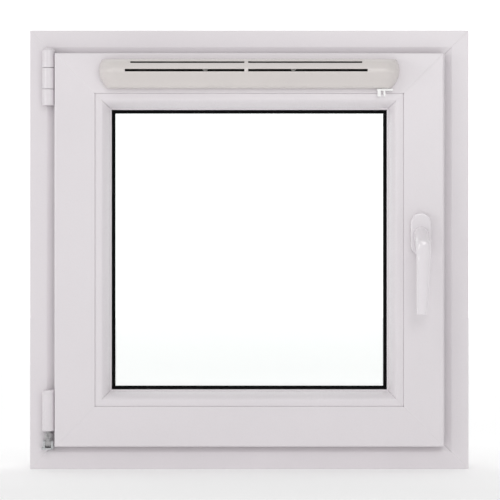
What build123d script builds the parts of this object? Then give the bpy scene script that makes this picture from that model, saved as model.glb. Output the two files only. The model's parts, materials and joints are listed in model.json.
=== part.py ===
from build123d import *
import math
import os

# Tilt-and-turn window: a fixed outer frame, a glazed sash with a lever handle, hinges on
# the left and a trickle vent in the top rail. Millimetres. +Z is up, +X is right as seen
# from the room, and the room is on the -Y side. The origin is the middle of the frame's
# underside. "in" below is a distance inward from the outer edge of a frame or sash.

# ---- driving dimensions --------------------------------------------------------------
FRAME_W = 600.0
FRAME_H = 600.0
FRAME_D = 70.0
FRAME_ROOM_Y = -FRAME_D / 2
FRAME_OUT_Y = FRAME_D / 2
WALL = 3.0

FRAME_FLAT = 21.0        # flat room face of the frame, in
SASH_IN = 32.0           # sash edge at head and sill, in
SASH_SIDE_IN = 35.0      # sash edge at the jambs, in
BEVEL_DROP = 4.0         # fall of the bevel between them
OVERLAP = 20.0           # sash lip over the frame
SEAT = 8.0               # part of the lip that faces the frame
REBATE_IN = SASH_IN + SEAT
FRAME_IN = 60.0          # outer leg of the frame, in
LEG = 15.0               # its thickness
SEAT_Y = FRAME_ROOM_Y + BEVEL_DROP
REBATE_Y = FRAME_OUT_Y - LEG

SEAL_GAP = 3.0           # gap that each gasket closes
SASH_PROUD = 18.0        # sash face in front of the frame face
SASH_Y = FRAME_ROOM_Y - SASH_PROUD
LIP_Y = SEAT_Y - SEAL_GAP
SASH_OUT_Y = REBATE_Y - SEAL_GAP
GLAZE_IN = 55.0          # joint between sash and bead, in from the sash edge
SASH_LEG = 14.0
SASH_DAY_IN = 77.0       # outer leg of the sash, in

SASH_W = FRAME_W - 2 * SASH_SIDE_IN
SASH_H = FRAME_H - 2 * SASH_IN
SASH_LEFT = -SASH_W / 2
SASH_RIGHT = SASH_W / 2
SASH_BOTTOM = SASH_IN
SASH_TOP = SASH_IN + SASH_H
BODY_LEFT = SASH_LEFT + OVERLAP
BODY_RIGHT = SASH_RIGHT - OVERLAP
BODY_BOTTOM = SASH_BOTTOM + OVERLAP
BODY_TOP = SASH_TOP - OVERLAP
MID_Z = FRAME_H / 2
SASH_INSET = (SASH_SIDE_IN, SASH_IN)

STEEL_Y = (-12.0, 14.0)  # reinforcement room of the frame
STEEL_WALL = 2.0
STEEL_PLAY = 0.2
DRAIN_IN = 120.0         # drain slots, in from each jamb
BOLT_R = 4.0
BOLT_PITCH = 300.0       # between the two fixing holes of a jamb
BOLT_Z = (MID_Z - BOLT_PITCH / 2, MID_Z + BOLT_PITCH / 2)

GLASS = 4.0              # one pane
GLASS_GAP = 16.0         # gas space between the panes
UNIT = 2 * GLASS + GLASS_GAP
GLASS_PLAY = 5.0         # pane edge to glazing rebate
GASKET = 3.0
GLASS_OUT_Y = SASH_OUT_Y - SASH_LEG - GASKET
GLASS_IN_Y = GLASS_OUT_Y - UNIT
BEAD_BACK_Y = GLASS_IN_Y - GASKET
BEAD_Y = SASH_Y + 2.5
BEAD_W = 21.7
BEAD_FLAT = 7.0
BEAD_FALL = 15.5         # fall of its curve towards the glass
SETTING_IN = 88.0        # middle of each setting block, in from the pane's edge
GASKET_SIGHT = 4.5       # visible black line inside the bead

GROOVE_Y = -21.0         # hardware groove centre
GROOVE_W = 16.4
GROOVE_D = 2.7
GROOVE_INNER_W = 12.0
GROOVE_INNER_D = 11.5
PLATE = 2.2              # faceplate thickness
PLATE_W = 16.0
PLATE_SUNK = GROOVE_D - 0.1
PLATE_END = 30.0         # faceplate end to sash edge
SASH_STEEL_Y = (-33.5, 1.0)
SASH_STEEL_WALL = 1.8
SASH_STEEL = (OVERLAP + GROOVE_INNER_D + 2.5, GLAZE_IN - WALL)

# hinge axis: vertical through the knuckles; the tilt axis crosses it near the bottom
KNUCKLE_R = 8.5
KNUCKLE_PLAY = 0.5       # knuckle to sash edge and to frame face
AXIS_X = SASH_LEFT - KNUCKLE_R - KNUCKLE_PLAY
AXIS_Y = FRAME_ROOM_Y - KNUCKLE_R - KNUCKLE_PLAY
TILT_Z = SASH_BOTTOM + 4.0
COVER_R = KNUCKLE_R + 0.2
PIN_R = 3.5
TRUNNION_R = 2.0
FIT = 0.05               # radial running clearance
LEAF = 2.0
LEAF_Y = LIP_Y + 0.5     # the leaf runs in the gap behind the lip
TURN_GAP = 0.35          # axial gap between knuckles

TOP_KNUCKLES = (SASH_TOP - 71.0, SASH_TOP - 49.0, SASH_TOP - 20.0, SASH_TOP + 4.0)
CAP_T = 3.0
SLEEVE_Z = (SASH_BOTTOM + 22.0, SASH_BOTTOM + 76.0)
BEARING_Z = (TILT_Z - 8.0, TILT_Z + 4.0)

# gearbox: one pinion moves the lock rods
MODULE = 1.0
TEETH = 14
PITCH_R = MODULE * TEETH / 2
ROD_TRAVEL = math.pi * PITCH_R
ROD_T = 2.4
ROD_W = 10.0
ROD_SUNK = GROOVE_D + 0.2
RACK_IN = 2.1            # pitch line of the rack, in from the rod's outer face
CASE_HALF = 30.0

# handle
HANDLE_X = BODY_RIGHT - ROD_SUNK - RACK_IN - PITCH_R
HANDLE_Z = MID_Z + 21.5
ROSETTE_W = 28.0
ROSETTE_H = 58.0
ROSETTE_T = 10.0
NECK_R = 11.75
LEVER_END = 108.0
LEVER_W_TOP = 16.5
LEVER_W_END = 14.0
HANDLE_OUT = 48.0        # lever front in front of the sash face
LEVER_T = 11.0
ROSETTE_SCREW = 21.5     # its screws, above and below the axis
SPINDLE = 7.0

# cams and keepers, in the gap between the sash body and the frame's rebate
CAM_SPACE = SASH_IN + OVERLAP - REBATE_IN
CAM_R = 4.0
CAM_TIP = CAM_SPACE - 2.5
CAM_STEM_R = 3.0
KEEPER_L = 26.0
KEEPER_TALL = CAM_SPACE - 3.5
KEEPER_LIP = 3.0
KEEPER_BASE = 2.0
KEEPER_GAP = 2.6         # cam to keeper along the bar at rest
CAM_LOW_Z = SASH_BOTTOM + 148.0
CAM_HIGH_Z = SASH_TOP - 138.0
CAM_HEAD_X = SASH_RIGHT - 118.0
CAM_SILL_X = SASH_RIGHT - 168.0
ROD_SIDE_Z = (SASH_BOTTOM + 93.0, SASH_TOP - 63.0)
ROD_HEAD_X = (SASH_RIGHT - 183.0, SASH_RIGHT - 80.0)
ROD_SILL_X = (SASH_RIGHT - 208.0, SASH_RIGHT - 63.0)

# stay
STAY_L = SASH_W - 230.0
STAY_PLATE = 2.0
STAY_HALF_W = 5.2
STAY_Z = BODY_TOP + 4.6
STAY_RIVET_X = BODY_LEFT - 6.0
STAY_RIVET_R = 3.0
STAY_PIVOT_X = STAY_RIVET_X + STAY_L
STAY_LEAN = 5.175        # lean of the arm's pivot, degrees
STAY_SLIDE = 6.4
STAY_SLOT_PLAY = 1.6

# vent
VENT_W = SASH_W - 120.0
VENT_Z = (SASH_TOP - 49.0, SASH_TOP - 9.0)
VENT_OUT = 37.0
VENT_WALL = 1.8
VENT_PLATE = 2.0
VENT_PLATE_IN = 15.0     # its end to the cover's end
VENT_PLAY = 0.2
DUCT_Z = (SASH_TOP - GLAZE_IN + 9.0, SASH_TOP - OVERLAP - GROOVE_INNER_D - 2.5)
DUCT_X = (8.0, VENT_W / 2 - 27.0)
DUCT_WALL = 1.2
DUCT_PLAY = 0.2
SLOT_WEB = 5.2
SLOT_SHIFT = -4.0
SLOTS = ((22.6, 3.5, VENT_W / 2 - 44.5), (34.4, 1.6, VENT_W / 2 - 51.5))  # up, tall, long
FLAP_Y = SASH_Y - 4.6
FLAP_Z = DUCT_Z[1] + 2.5
FLAP_PIN_R = 1.2
EAR_X = DUCT_X[1] + 8.0
TAB_X = VENT_W / 2 - 21.0
TAB_TRAVEL = 12.0
HOOD_Z = (DUCT_Z[0] - 17.0, DUCT_Z[1] + 2.0)
HOOD_X = DUCT_X[1] + 22.0
HOOD_D = 22.0
HOOD_WALL = 1.8

SCREW_R = 2.0
SCREW_HEAD_R = 3.8
SIDES = {"sill": 0, "right": -90, "head": 180, "left": 90}


# ---- small helpers -------------------------------------------------------------------
def block(x, y, z):
    """A box between two values along each axis."""
    size = [b - a for a, b in (x, y, z)]
    return Pos(sum(x) / 2, sum(y) / 2, sum(z) / 2) * Box(*size)


def rod(r, start, end):
    """A round bar from start to end."""
    a, b = Vector(*start), Vector(*end)
    return Plane(origin=a, z_dir=b - a) * Cylinder(
        r, (b - a).length, align=(Align.CENTER, Align.CENTER, Align.MIN)
    )


def face_of(points):
    """A flat face with straight sides."""
    return make_face(Polyline(*points, close=True))


def prism_x(points, x):
    """An outline of (y, z) points pushed along X from x[0] to x[1]."""
    return extrude(Plane.YZ.offset(x[0]) * face_of(points), amount=x[1] - x[0])


def prism_z(points, z):
    """An outline of (x, y) points pushed up from z[0] to z[1]."""
    return extrude(Plane.XY.offset(z[0]) * face_of(points), amount=z[1] - z[0])


def ring(inset, width, y):
    """A rectangular ring of the sash, from inset to inset + width, between two y values."""
    outer = block(
        (SASH_LEFT + inset, SASH_RIGHT - inset), y, (SASH_BOTTOM + inset, SASH_TOP - inset)
    )
    i = inset + width
    return outer - block(
        (SASH_LEFT + i, SASH_RIGHT - i), (y[0] - 1, y[1] + 1), (SASH_BOTTOM + i, SASH_TOP - i)
    )


def side_bar(profile, side, inset, short=0.0):
    """A bar whose (y, in) face follows one side of a rectangle.

    The face counts "in" from a rectangle inside the frame's outline, inset from its jambs
    and from its head and sill. The ends are square and stop short of the corners by "short", or meet them at 45 degrees.
    """
    w, h = FRAME_W - 2 * inset[0], FRAME_H - 2 * inset[1]
    length, half = (w, h / 2) if side in ("sill", "head") else (h, w / 2)
    bar = extrude(Plane.YZ * Pos(0, -half) * profile, amount=length / 2 - short, both=True)
    if not short:
        for k in (1, -1):
            edge, deep, over = length / 2, 90.0, 5.0
            wedge = face_of(
                [
                    (k * (edge + over), -half - over),
                    (k * (edge - deep), -half + deep),
                    (k * (edge + over), -half + deep),
                ]
            )
            bar -= extrude(Plane.XZ * wedge, amount=FRAME_D * 2, both=True)
    return Pos(0, 0, MID_Z) * Rot(0, SIDES[side], 0) * bar


def screw(at, direction, length):
    """A countersunk screw with its head at "at", and the direction it points in."""
    a, d = Vector(*at), Vector(*direction)
    head = Plane(origin=a, z_dir=d) * Cone(
        SCREW_HEAD_R, SCREW_R, 1.8, align=(Align.CENTER, Align.CENTER, Align.MIN)
    )
    return head + rod(SCREW_R, a, a + d * length)


def drilled(shape, screws):
    """The shape with room for each screw."""
    for s in screws:
        box, near = s.bounding_box(), shape.bounding_box()
        apart = any(
            getattr(box.min, a) > getattr(near.max, a) or getattr(box.max, a) < getattr(near.min, a)
            for a in "XYZ"
        )
        if not apart:
            shape -= s
    return shape


# ---- outer frame ---------------------------------------------------------------------
def frame_profile():
    """The frame's section as (y, in): flat face, bevel, seat, rebate and outer leg."""
    outline = face_of(
        [
            (FRAME_ROOM_Y, 0),
            (FRAME_ROOM_Y, FRAME_FLAT),
            (SEAT_Y, SASH_IN),
            (SEAT_Y, REBATE_IN),
            (REBATE_Y, REBATE_IN),
            (REBATE_Y, FRAME_IN),
            (FRAME_OUT_Y, FRAME_IN),
            (FRAME_OUT_Y, 0),
        ]
    )
    deep = REBATE_IN - WALL
    room = face_of(
        [
            (FRAME_ROOM_Y + WALL, WALL),
            (FRAME_ROOM_Y + WALL, FRAME_FLAT - 1),
            (SEAT_Y + WALL, SASH_IN - 1),
            (SEAT_Y + WALL, deep),
            (STEEL_Y[0] - WALL / 2, deep),
            (STEEL_Y[0] - WALL / 2, WALL),
        ]
    )
    steel = face_of(
        [(STEEL_Y[0], WALL), (STEEL_Y[0], deep), (STEEL_Y[1], deep), (STEEL_Y[1], WALL)]
    )
    outer = face_of(
        [
            (STEEL_Y[1] + WALL / 2, WALL),
            (STEEL_Y[1] + WALL / 2, deep),
            (REBATE_Y + WALL, deep),
            (REBATE_Y + WALL, FRAME_IN - WALL),
            (FRAME_OUT_Y - WALL, FRAME_IN - WALL),
            (FRAME_OUT_Y - WALL, WALL),
        ]
    )
    return outline - room - steel - outer


def box_tube(y, inn, wall):
    """A box section as (y, in), with its play inside a chamber."""
    a, b = y[0] + STEEL_PLAY, y[1] - STEEL_PLAY
    c, d = inn[0] + STEEL_PLAY, inn[1] - STEEL_PLAY
    outer = face_of([(a, c), (a, d), (b, d), (b, c)])
    a, b, c, d = a + wall, b - wall, c + wall, d - wall
    return outer - face_of([(a, c), (a, d), (b, d), (b, c)])


def wall_bolt_holes():
    """The fixing holes through both jambs."""
    reach = FRAME_W / 2 + 5
    holes = None
    for z in BOLT_Z:
        hole = rod(BOLT_R, (-reach, 0, z), (reach, 0, z))
        holes = hole if holes is None else holes + hole
    return holes


def cam_places():
    """Rest places of the cams: (side, place along the side, way the rod moves)."""
    return [
        ("right", CAM_LOW_Z, -1),
        ("right", CAM_HIGH_Z, -1),
        ("head", CAM_HEAD_X, 1),
        ("sill", CAM_SILL_X, -1),
    ]


def keepers():
    """Steel keepers on the rebate floor, each with a lip beside its cam, and their screws."""
    made, screws = [], []
    places = [(s, p - w * (CAM_R + KEEPER_GAP + KEEPER_L / 2)) for s, p, w in cam_places()]
    side, place, way = cam_places()[-1]
    places.append((side, place + way * (ROD_TRAVEL + CAM_R + KEEPER_GAP + KEEPER_L / 2)))
    y0, y1 = GROOVE_Y - CAM_R - 0.8 - KEEPER_LIP, GROOVE_Y + 9
    lip = (y0, y0 + KEEPER_LIP)
    for side, at in places:
        floor = {
            "right": FRAME_W / 2 - REBATE_IN,
            "head": FRAME_H - REBATE_IN,
            "sill": REBATE_IN,
        }[side]
        out = {"right": -1, "head": -1, "sill": 1}[side]
        span = (at - KEEPER_L / 2, at + KEEPER_L / 2)
        pack = SASH_SIDE_IN - SASH_IN if side == "right" else 0
        top = floor + out * (KEEPER_BASE + pack)
        low = sorted((floor, top))
        tall = sorted((floor, floor + out * (KEEPER_TALL + pack)))
        if side == "right":
            part = block(low, (y0, y1), span) + block(tall, lip, span)
        else:
            part = block(span, (y0, y1), low) + block(span, lip, tall)
        for k in (-1, 1):
            along = at + k * 8
            if side == "right":
                s = screw((top, GROOVE_Y + 3, along), (1, 0, 0), 9 + pack)
            else:
                s = screw((along, GROOVE_Y + 3, top), (0, 0, -out), 9)
            part -= s
            screws.append(s)
        made.append(part)
    return made, screws


def hinge_bearings():
    """The frame-side hinge parts: top stay bearing and pin, bottom corner bearing."""
    edge = -FRAME_W / 2
    slope = BEVEL_DROP / (SASH_IN - FRAME_FLAT)
    right = edge + BEARING_Z[0]
    back = [
        (AXIS_X - KNUCKLE_R + 0.5, FRAME_ROOM_Y),
        (edge + FRAME_FLAT, FRAME_ROOM_Y),
        (right, FRAME_ROOM_Y + slope * (BEARING_Z[0] - FRAME_FLAT)),
    ]
    spine_y = FRAME_ROOM_Y - 1.3
    spine = [back[0], back[1], (back[1][0], spine_y), (back[0][0], spine_y)]
    z0, z1, z2, z3 = TOP_KNUCKLES
    bearing = prism_z(spine, (z0, z3))
    legs = [back[0], back[1], back[2], (right, AXIS_Y), (AXIS_X - KNUCKLE_R + 0.5, AXIS_Y)]
    for low, high in ((z0, z1 - TURN_GAP), (z2 + TURN_GAP, z3)):
        bearing += prism_z(legs, (low, high))
        bearing += rod(KNUCKLE_R, (AXIS_X, AXIS_Y, low), (AXIS_X, AXIS_Y, high))
    bearing -= rod(PIN_R + FIT, (AXIS_X, AXIS_Y, z0 - 1), (AXIS_X, AXIS_Y, z3 + 1))
    pin = rod(PIN_R, (AXIS_X, AXIS_Y, z0 + 1), (AXIS_X, AXIS_Y, z3))
    cap = rod(KNUCKLE_R, (AXIS_X, AXIS_Y, z3), (AXIS_X, AXIS_Y, z3 + CAP_T))
    cap = fillet(cap.edges().group_by(Axis.Z)[-1], 2.2)
    pin += cap

    b0, b1 = BEARING_Z
    cheek_r = 4.2
    base = [(AXIS_X - 9.5, FRAME_ROOM_Y), back[1], back[2]]
    base += [(AXIS_X + 6.5, AXIS_Y + 1), (AXIS_X + 4, AXIS_Y - 6.6), (AXIS_X - 6, AXIS_Y - 6.6)]
    base += [(AXIS_X - 9.5, AXIS_Y - 3)]
    foot_top = TILT_Z - 6.0
    corner = prism_z(base, (b0, foot_top))
    for x in ((AXIS_X - 6.8, AXIS_X - 4.3), (AXIS_X + 4.0, AXIS_X + 6.5)):
        cheek = rod(cheek_r, (x[0], AXIS_Y, TILT_Z), (x[1], AXIS_Y, TILT_Z))
        cheek += block(x, (AXIS_Y - cheek_r, AXIS_Y + cheek_r), (foot_top - 1, TILT_Z))
        corner += cheek
    corner += prism_z(spine, (foot_top - 1, b1))
    corner -= rod(TRUNNION_R + FIT, (AXIS_X - 12, AXIS_Y, TILT_Z), (AXIS_X + 12, AXIS_Y, TILT_Z))
    screws = [
        screw((AXIS_X - 1.0, AXIS_Y + PIN_R + 0.5, z), (0, 1, 0), 18)
        for z in ((z0 + z1) / 2, (z2 + z3) / 2)
    ]
    return bearing, pin, corner, screws


def outer_frame():
    """Every node that is fixed to the wall."""
    profile = frame_profile()
    keeper_parts, keeper_screws = keepers()
    bearing, pin, corner, bearing_screws = hinge_bearings()
    bearing = drilled(bearing, bearing_screws)
    bolts = wall_bolt_holes()
    screws = keeper_screws + bearing_screws
    nodes = {}
    names = {"head": "frame_head", "sill": "frame_sill"}
    names |= {"left": "frame_jamb_left", "right": "frame_jamb_right"}
    drain_x = FRAME_W / 2 - DRAIN_IN
    for side, name in names.items():
        bar = side_bar(profile, side, (0, 0))
        if side in ("left", "right"):
            bar -= bolts
        if side == "sill":
            for x in (-drain_x, drain_x):
                bar -= block((x - 12, x + 12), (STEEL_Y[1], FRAME_OUT_Y + 1), (14, 19))
        nodes[name] = drilled(bar, screws)
    tube = box_tube(STEEL_Y, (WALL, REBATE_IN - WALL), STEEL_WALL)
    steels = [side_bar(tube, side, (0, 0), REBATE_IN + 4) - bolts for side in SIDES]
    nodes["frame_steel"] = steels
    seal_y = (SASH_OUT_Y + 0.6, REBATE_Y)
    nodes["frame_gasket"] = ring(FRAME_IN - SASH_SIDE_IN - 6, 5.0, seal_y)
    cap = block((-17, 17), (FRAME_OUT_Y, FRAME_OUT_Y + 3), (10, 23))
    cap -= block((-13, 13), (FRAME_OUT_Y - 1, FRAME_OUT_Y + 1.6), (9, 20))
    nodes["drain_caps"] = [Pos(x, 0, 0) * cap for x in (-drain_x, drain_x)]
    nodes["keepers"] = keeper_parts
    nodes["keeper_screws"] = keeper_screws
    nodes["stay_bearing"] = bearing
    nodes["stay_pin"] = pin
    nodes["corner_bearing"] = corner
    nodes["bearing_screws"] = bearing_screws
    return nodes


# ---- hinge parts that move -----------------------------------------------------------
def neck(reach_x, z):
    """The cranked leaf that runs from a knuckle into the gap behind the sash lip."""
    beside = SASH_LEFT - 0.4
    points = [
        (AXIS_X + 1, AXIS_Y),
        (beside, AXIS_Y + 3),
        (beside, LEAF_Y),
        (reach_x, LEAF_Y),
        (reach_x, LEAF_Y + LEAF),
        (beside - 1, LEAF_Y + LEAF - 0.5),
        (AXIS_X, AXIS_Y + 7),
    ]
    return prism_z(points, z)


def corner_pin():
    """The bottom pin: a vertical shank on a trunnion, so that it turns and tilts."""
    pin = rod(PIN_R, (AXIS_X, AXIS_Y, TILT_Z), (AXIS_X, AXIS_Y, SLEEVE_Z[1] - 6))
    pin += rod(TRUNNION_R, (AXIS_X - 6.6, AXIS_Y, TILT_Z), (AXIS_X + 6.3, AXIS_Y, TILT_Z))
    pin += rod(4.6, (AXIS_X - 4.0, AXIS_Y, TILT_Z), (AXIS_X + 3.7, AXIS_Y, TILT_Z))
    pin += rod(5.6, (AXIS_X, AXIS_Y, TILT_Z + 7.5), (AXIS_X, AXIS_Y, TILT_Z + 14))
    notch_z = (TILT_Z + 9.5, TILT_Z + 16)
    notch = block((AXIS_X - 1.6, AXIS_X + 1.6), (AXIS_Y - 9, AXIS_Y - PIN_R), notch_z)
    return pin - notch


def stay_band():
    """The top band: middle knuckle, leaf behind the lip, and a tab with the stay rivet."""
    z0, z1 = TOP_KNUCKLES[1] + TURN_GAP, TOP_KNUCKLES[2] - TURN_GAP
    tab_z = (STAY_Z + STAY_PLATE + 2.4, STAY_Z + STAY_PLATE + 4.4)
    band = rod(KNUCKLE_R, (AXIS_X, AXIS_Y, z0), (AXIS_X, AXIS_Y, z1))
    reach = STAY_RIVET_X - 2
    band += neck(reach, (z0, z1))
    band -= rod(PIN_R + FIT, (AXIS_X, AXIS_Y, z0 - 1), (AXIS_X, AXIS_Y, z1 + 1))
    band += block((AXIS_X + KNUCKLE_R + 1, reach), (LEAF_Y, LEAF_Y + LEAF), (z0, tab_z[1]))
    half = 4.4
    x = (STAY_RIVET_X - half, STAY_RIVET_X + half)
    band += block(x, (LEAF_Y, GROOVE_Y), tab_z)
    band += rod(half, (STAY_RIVET_X, GROOVE_Y, tab_z[0]), (STAY_RIVET_X, GROOVE_Y, tab_z[1]))
    low = STAY_Z - 1.6
    band += rod(STAY_RIVET_R, (STAY_RIVET_X, GROOVE_Y, low), (STAY_RIVET_X, GROOVE_Y, tab_z[1]))
    band += rod(half, (STAY_RIVET_X, GROOVE_Y, low - 1.6), (STAY_RIVET_X, GROOVE_Y, low))
    return band


def stay_parts():
    """The stay arm and the shoe that carries it along the sash's top faceplate."""
    pivot = Vector(STAY_PIVOT_X, GROOVE_Y, STAY_Z)
    lean = math.radians(STAY_LEAN)
    axis = Vector(0, math.sin(lean), math.cos(lean))
    wide = STAY_HALF_W
    x = (STAY_RIVET_X - STAY_SLOT_PLAY, STAY_PIVOT_X)
    arm = block(x, (GROOVE_Y - wide, GROOVE_Y + wide), (STAY_Z, STAY_Z + STAY_PLATE))
    for at in x:
        arm += rod(wide, (at, GROOVE_Y, STAY_Z), (at, GROOVE_Y, STAY_Z + STAY_PLATE))
    r = STAY_RIVET_R + 0.6
    slot = block(
        (STAY_RIVET_X - STAY_SLOT_PLAY, STAY_RIVET_X + STAY_SLOT_PLAY),
        (GROOVE_Y - r, GROOVE_Y + r),
        (STAY_Z - 1, STAY_Z + STAY_PLATE + 1),
    )
    for k in (-1, 1):
        at = STAY_RIVET_X + k * STAY_SLOT_PLAY
        slot += rod(r, (at, GROOVE_Y, STAY_Z - 1), (at, GROOVE_Y, STAY_Z + STAY_PLATE + 1))
    arm -= slot
    arm -= rod(PIN_R + FIT, pivot - axis * 4, pivot + axis * 6)
    under = STAY_Z - 1.0
    x = (STAY_PIVOT_X - 9, STAY_PIVOT_X + 9)
    shoe = block(x, (GROOVE_Y - 6, GROOVE_Y + 6), (BODY_TOP + 0.3, under))
    x = (STAY_PIVOT_X - 7, STAY_PIVOT_X + 7)
    shoe += block(x, (GROOVE_Y - 3, GROOVE_Y + 3), (BODY_TOP - 4.5, BODY_TOP + 1))
    shoe += rod(PIN_R, pivot - axis * 2.5, pivot + axis * (STAY_PLATE + 0.9))
    shoe += rod(5.0, pivot + axis * (STAY_PLATE + 0.7), pivot + axis * (STAY_PLATE + 1.8))
    return arm, shoe


# ---- sash ----------------------------------------------------------------------------
def sash_profile():
    """The sash's section as (y, in): lip, hardware groove, glazing rebate and outer leg."""
    half, inner = GROOVE_W / 2, GROOVE_INNER_W / 2
    deep, deeper = OVERLAP + GROOVE_D, OVERLAP + GROOVE_INNER_D
    outline = face_of(
        [
            (SASH_Y, 0),
            (LIP_Y, 0),
            (LIP_Y, OVERLAP),
            (GROOVE_Y - half, OVERLAP),
            (GROOVE_Y - half, deep),
            (GROOVE_Y - inner, deep),
            (GROOVE_Y - inner, deeper),
            (GROOVE_Y + inner, deeper),
            (GROOVE_Y + inner, deep),
            (GROOVE_Y + half, deep),
            (GROOVE_Y + half, OVERLAP),
            (SASH_OUT_Y, OVERLAP),
            (SASH_OUT_Y, SASH_DAY_IN),
            (SASH_OUT_Y - SASH_LEG, SASH_DAY_IN),
            (SASH_OUT_Y - SASH_LEG, GLAZE_IN),
            (SASH_Y, GLAZE_IN),
        ]
    )
    corner = outline.vertices().sort_by_distance((SASH_Y, 0, 0))[0]
    outline = fillet(corner, 2.5)
    y0, y1 = SASH_Y + WALL, LIP_Y - WALL
    room = face_of([(y0, WALL), (y0, GLAZE_IN - WALL), (y1, GLAZE_IN - WALL), (y1, WALL)])
    a, b = SASH_STEEL_Y
    c, d = SASH_STEEL
    steel = face_of([(a, c), (a, d), (b, d), (b, c)])
    y0, y1 = SASH_OUT_Y - SASH_LEG + WALL, SASH_OUT_Y - WALL
    c, d = OVERLAP + WALL, SASH_DAY_IN - WALL
    outer = face_of([(y0, c), (y0, d), (y1, d), (y1, c)])
    y0, y1 = GROOVE_Y + half + 1.5, SASH_OUT_Y - SASH_LEG
    small = face_of([(y0, c), (y0, deeper), (y1, deeper), (y1, c)])
    return outline - room - steel - outer - small


def bead_profile():
    """The glazing bead's section as (y, in): flat, then a curve down to a thin lip."""
    start, lip = GLAZE_IN + 0.3, GLAZE_IN + BEAD_W
    flat = GLAZE_IN + BEAD_FLAT
    knee_y = BEAD_Y + BEAD_FALL
    path = Polyline((BEAD_BACK_Y, start), (BEAD_Y, start), (BEAD_Y, flat))
    path += TangentArc((BEAD_Y, flat), (knee_y, lip - 1.7), tangent=(0.25, 1))
    path += Polyline(
        (knee_y, lip - 1.7), (BEAD_BACK_Y - 2, lip), (BEAD_BACK_Y, lip), (BEAD_BACK_Y, start)
    )
    solid = make_face(path)
    y0, y1 = BEAD_Y + 2, BEAD_BACK_Y - 2
    a, b = start + 2, flat
    hollow = face_of([(y0, a), (y0, b), (y0 + 10, lip - 6), (y1, lip - 5), (y1, a)])
    return solid - hollow


def ducts_cut(grow):
    """Both duct passages through the top rail, grown by a clearance."""
    shapes = []
    for k in (-1, 1):
        x = sorted((k * DUCT_X[0], k * DUCT_X[1]))
        x = (x[0] - grow, x[1] + grow)
        z = (DUCT_Z[0] - grow, DUCT_Z[1] + grow)
        shapes.append(block(x, (SASH_Y - 1, SASH_OUT_Y + 1), z))
    return shapes


def layers(bar):
    """The top rail in three courses, so that the two passages lie between whole solids."""
    x = (SASH_LEFT - 1, SASH_RIGHT + 1)
    y = (SASH_Y - 1, SASH_OUT_Y + 1)
    heights = (SASH_TOP - SASH_DAY_IN - 1, *DUCT_Z, SASH_TOP + 1)
    return [bar & block(x, y, z) for z in zip(heights, heights[1:])]


def gearbox_room(play):
    """The pocket for the gearbox in the right stile."""
    inner = BODY_RIGHT - GROOVE_D - 0.2
    x = (HANDLE_X - 10 - play, inner + play)
    y = (GROOVE_Y - 8 - play, GROOVE_Y + 8 + play)
    return block(x, y, (HANDLE_Z - CASE_HALF - play, HANDLE_Z + CASE_HALF + play))


def plate_screws():
    """Countersunk screws of the faceplates: (place, direction)."""
    high = BODY_TOP + PLATE - PLATE_SUNK
    side = BODY_RIGHT + PLATE - PLATE_SUNK
    last = SASH_RIGHT - 52
    places = []
    for z in (SASH_BOTTOM + 60, SASH_TOP - 55):
        places.append(((side, GROOVE_Y, z), (-1, 0, 0)))
    for x in (SASH_LEFT + 68, STAY_PIVOT_X - 106, last):
        places.append(((x, GROOVE_Y, high), (0, 0, -1)))
    for x in (SASH_LEFT + 168, SASH_RIGHT - 238, last):
        places.append(((x, GROOVE_Y, 2 * MID_Z - high), (0, 0, 1)))
    return [screw(p, d, 7.0) for p, d in places]


def sash_screws():
    """Every screw of the sash: band, faceplates and vent."""
    bands = [
        screw((BODY_LEFT - LEAF, GROOVE_Y, z), (1, 0, 0), 7.5)
        for z in (SLEEVE_Z[0] + 10, SLEEVE_Z[1] - 10)
    ]
    vents = [
        screw((k * x, SASH_Y - VENT_PLATE, VENT_Z[0] + 27.5), (0, 1, 0), 10)
        for k in (-1, 1)
        for x in (DUCT_X[1] - 118, DUCT_X[1] + 5)
    ]
    return bands, plate_screws(), vents


def faceplates():
    """Steel strips over the hardware groove, with slots for the cams and the stay shoe."""
    y = (GROOVE_Y - PLATE_W / 2, GROOVE_Y + PLATE_W / 2)
    base = PLATE_SUNK
    x = (SASH_LEFT + PLATE_END, SASH_RIGHT - PLATE_END)
    z = (SASH_BOTTOM + PLATE_END, SASH_TOP - PLATE_END)
    right = block((BODY_RIGHT - base, BODY_RIGHT - base + PLATE), y, z)
    top = block(x, y, (BODY_TOP - base, BODY_TOP - base + PLATE))
    low = block((x[0] + 10, x[1]), y, (BODY_BOTTOM + base - PLATE, BODY_BOTTOM + base))
    slot = CAM_STEM_R + 0.3
    wide = (GROOVE_Y - slot, GROOVE_Y + slot)
    for side, place, way in cam_places():
        span = sorted((place - way * slot, place + way * (ROD_TRAVEL + slot)))
        if side == "right":
            right -= block((BODY_RIGHT - 5, BODY_RIGHT + 5), wide, span)
        elif side == "head":
            top -= block(span, wide, (BODY_TOP - 5, BODY_TOP + 5))
        else:
            low -= block(span, wide, (BODY_BOTTOM - 5, BODY_BOTTOM + 5))
    span = (STAY_PIVOT_X - 8 - STAY_SLIDE, STAY_PIVOT_X + 8)
    top -= block(span, (GROOVE_Y - 3.3, GROOVE_Y + 3.3), (BODY_TOP - 5, BODY_TOP + 5))
    return [right, top, low]


def corner_drives():
    """Guide casings for the steel bands that carry the rod's travel round two corners."""
    made = []
    y = (GROOVE_Y - 5.6, GROOVE_Y + 5.6)
    far = BODY_RIGHT - GROOVE_D - 0.3
    for k in (-1, 1):
        corner = MID_Z + k * (BODY_TOP - MID_Z - GROOVE_D - 0.3)
        z = sorted((corner, corner - k * 22))
        z_thin = sorted((corner, corner - k * 7))
        part = block((far - 7, far), y, z) + block((far - 22, far), y, z_thin)
        made.append(part)
    return made


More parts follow.
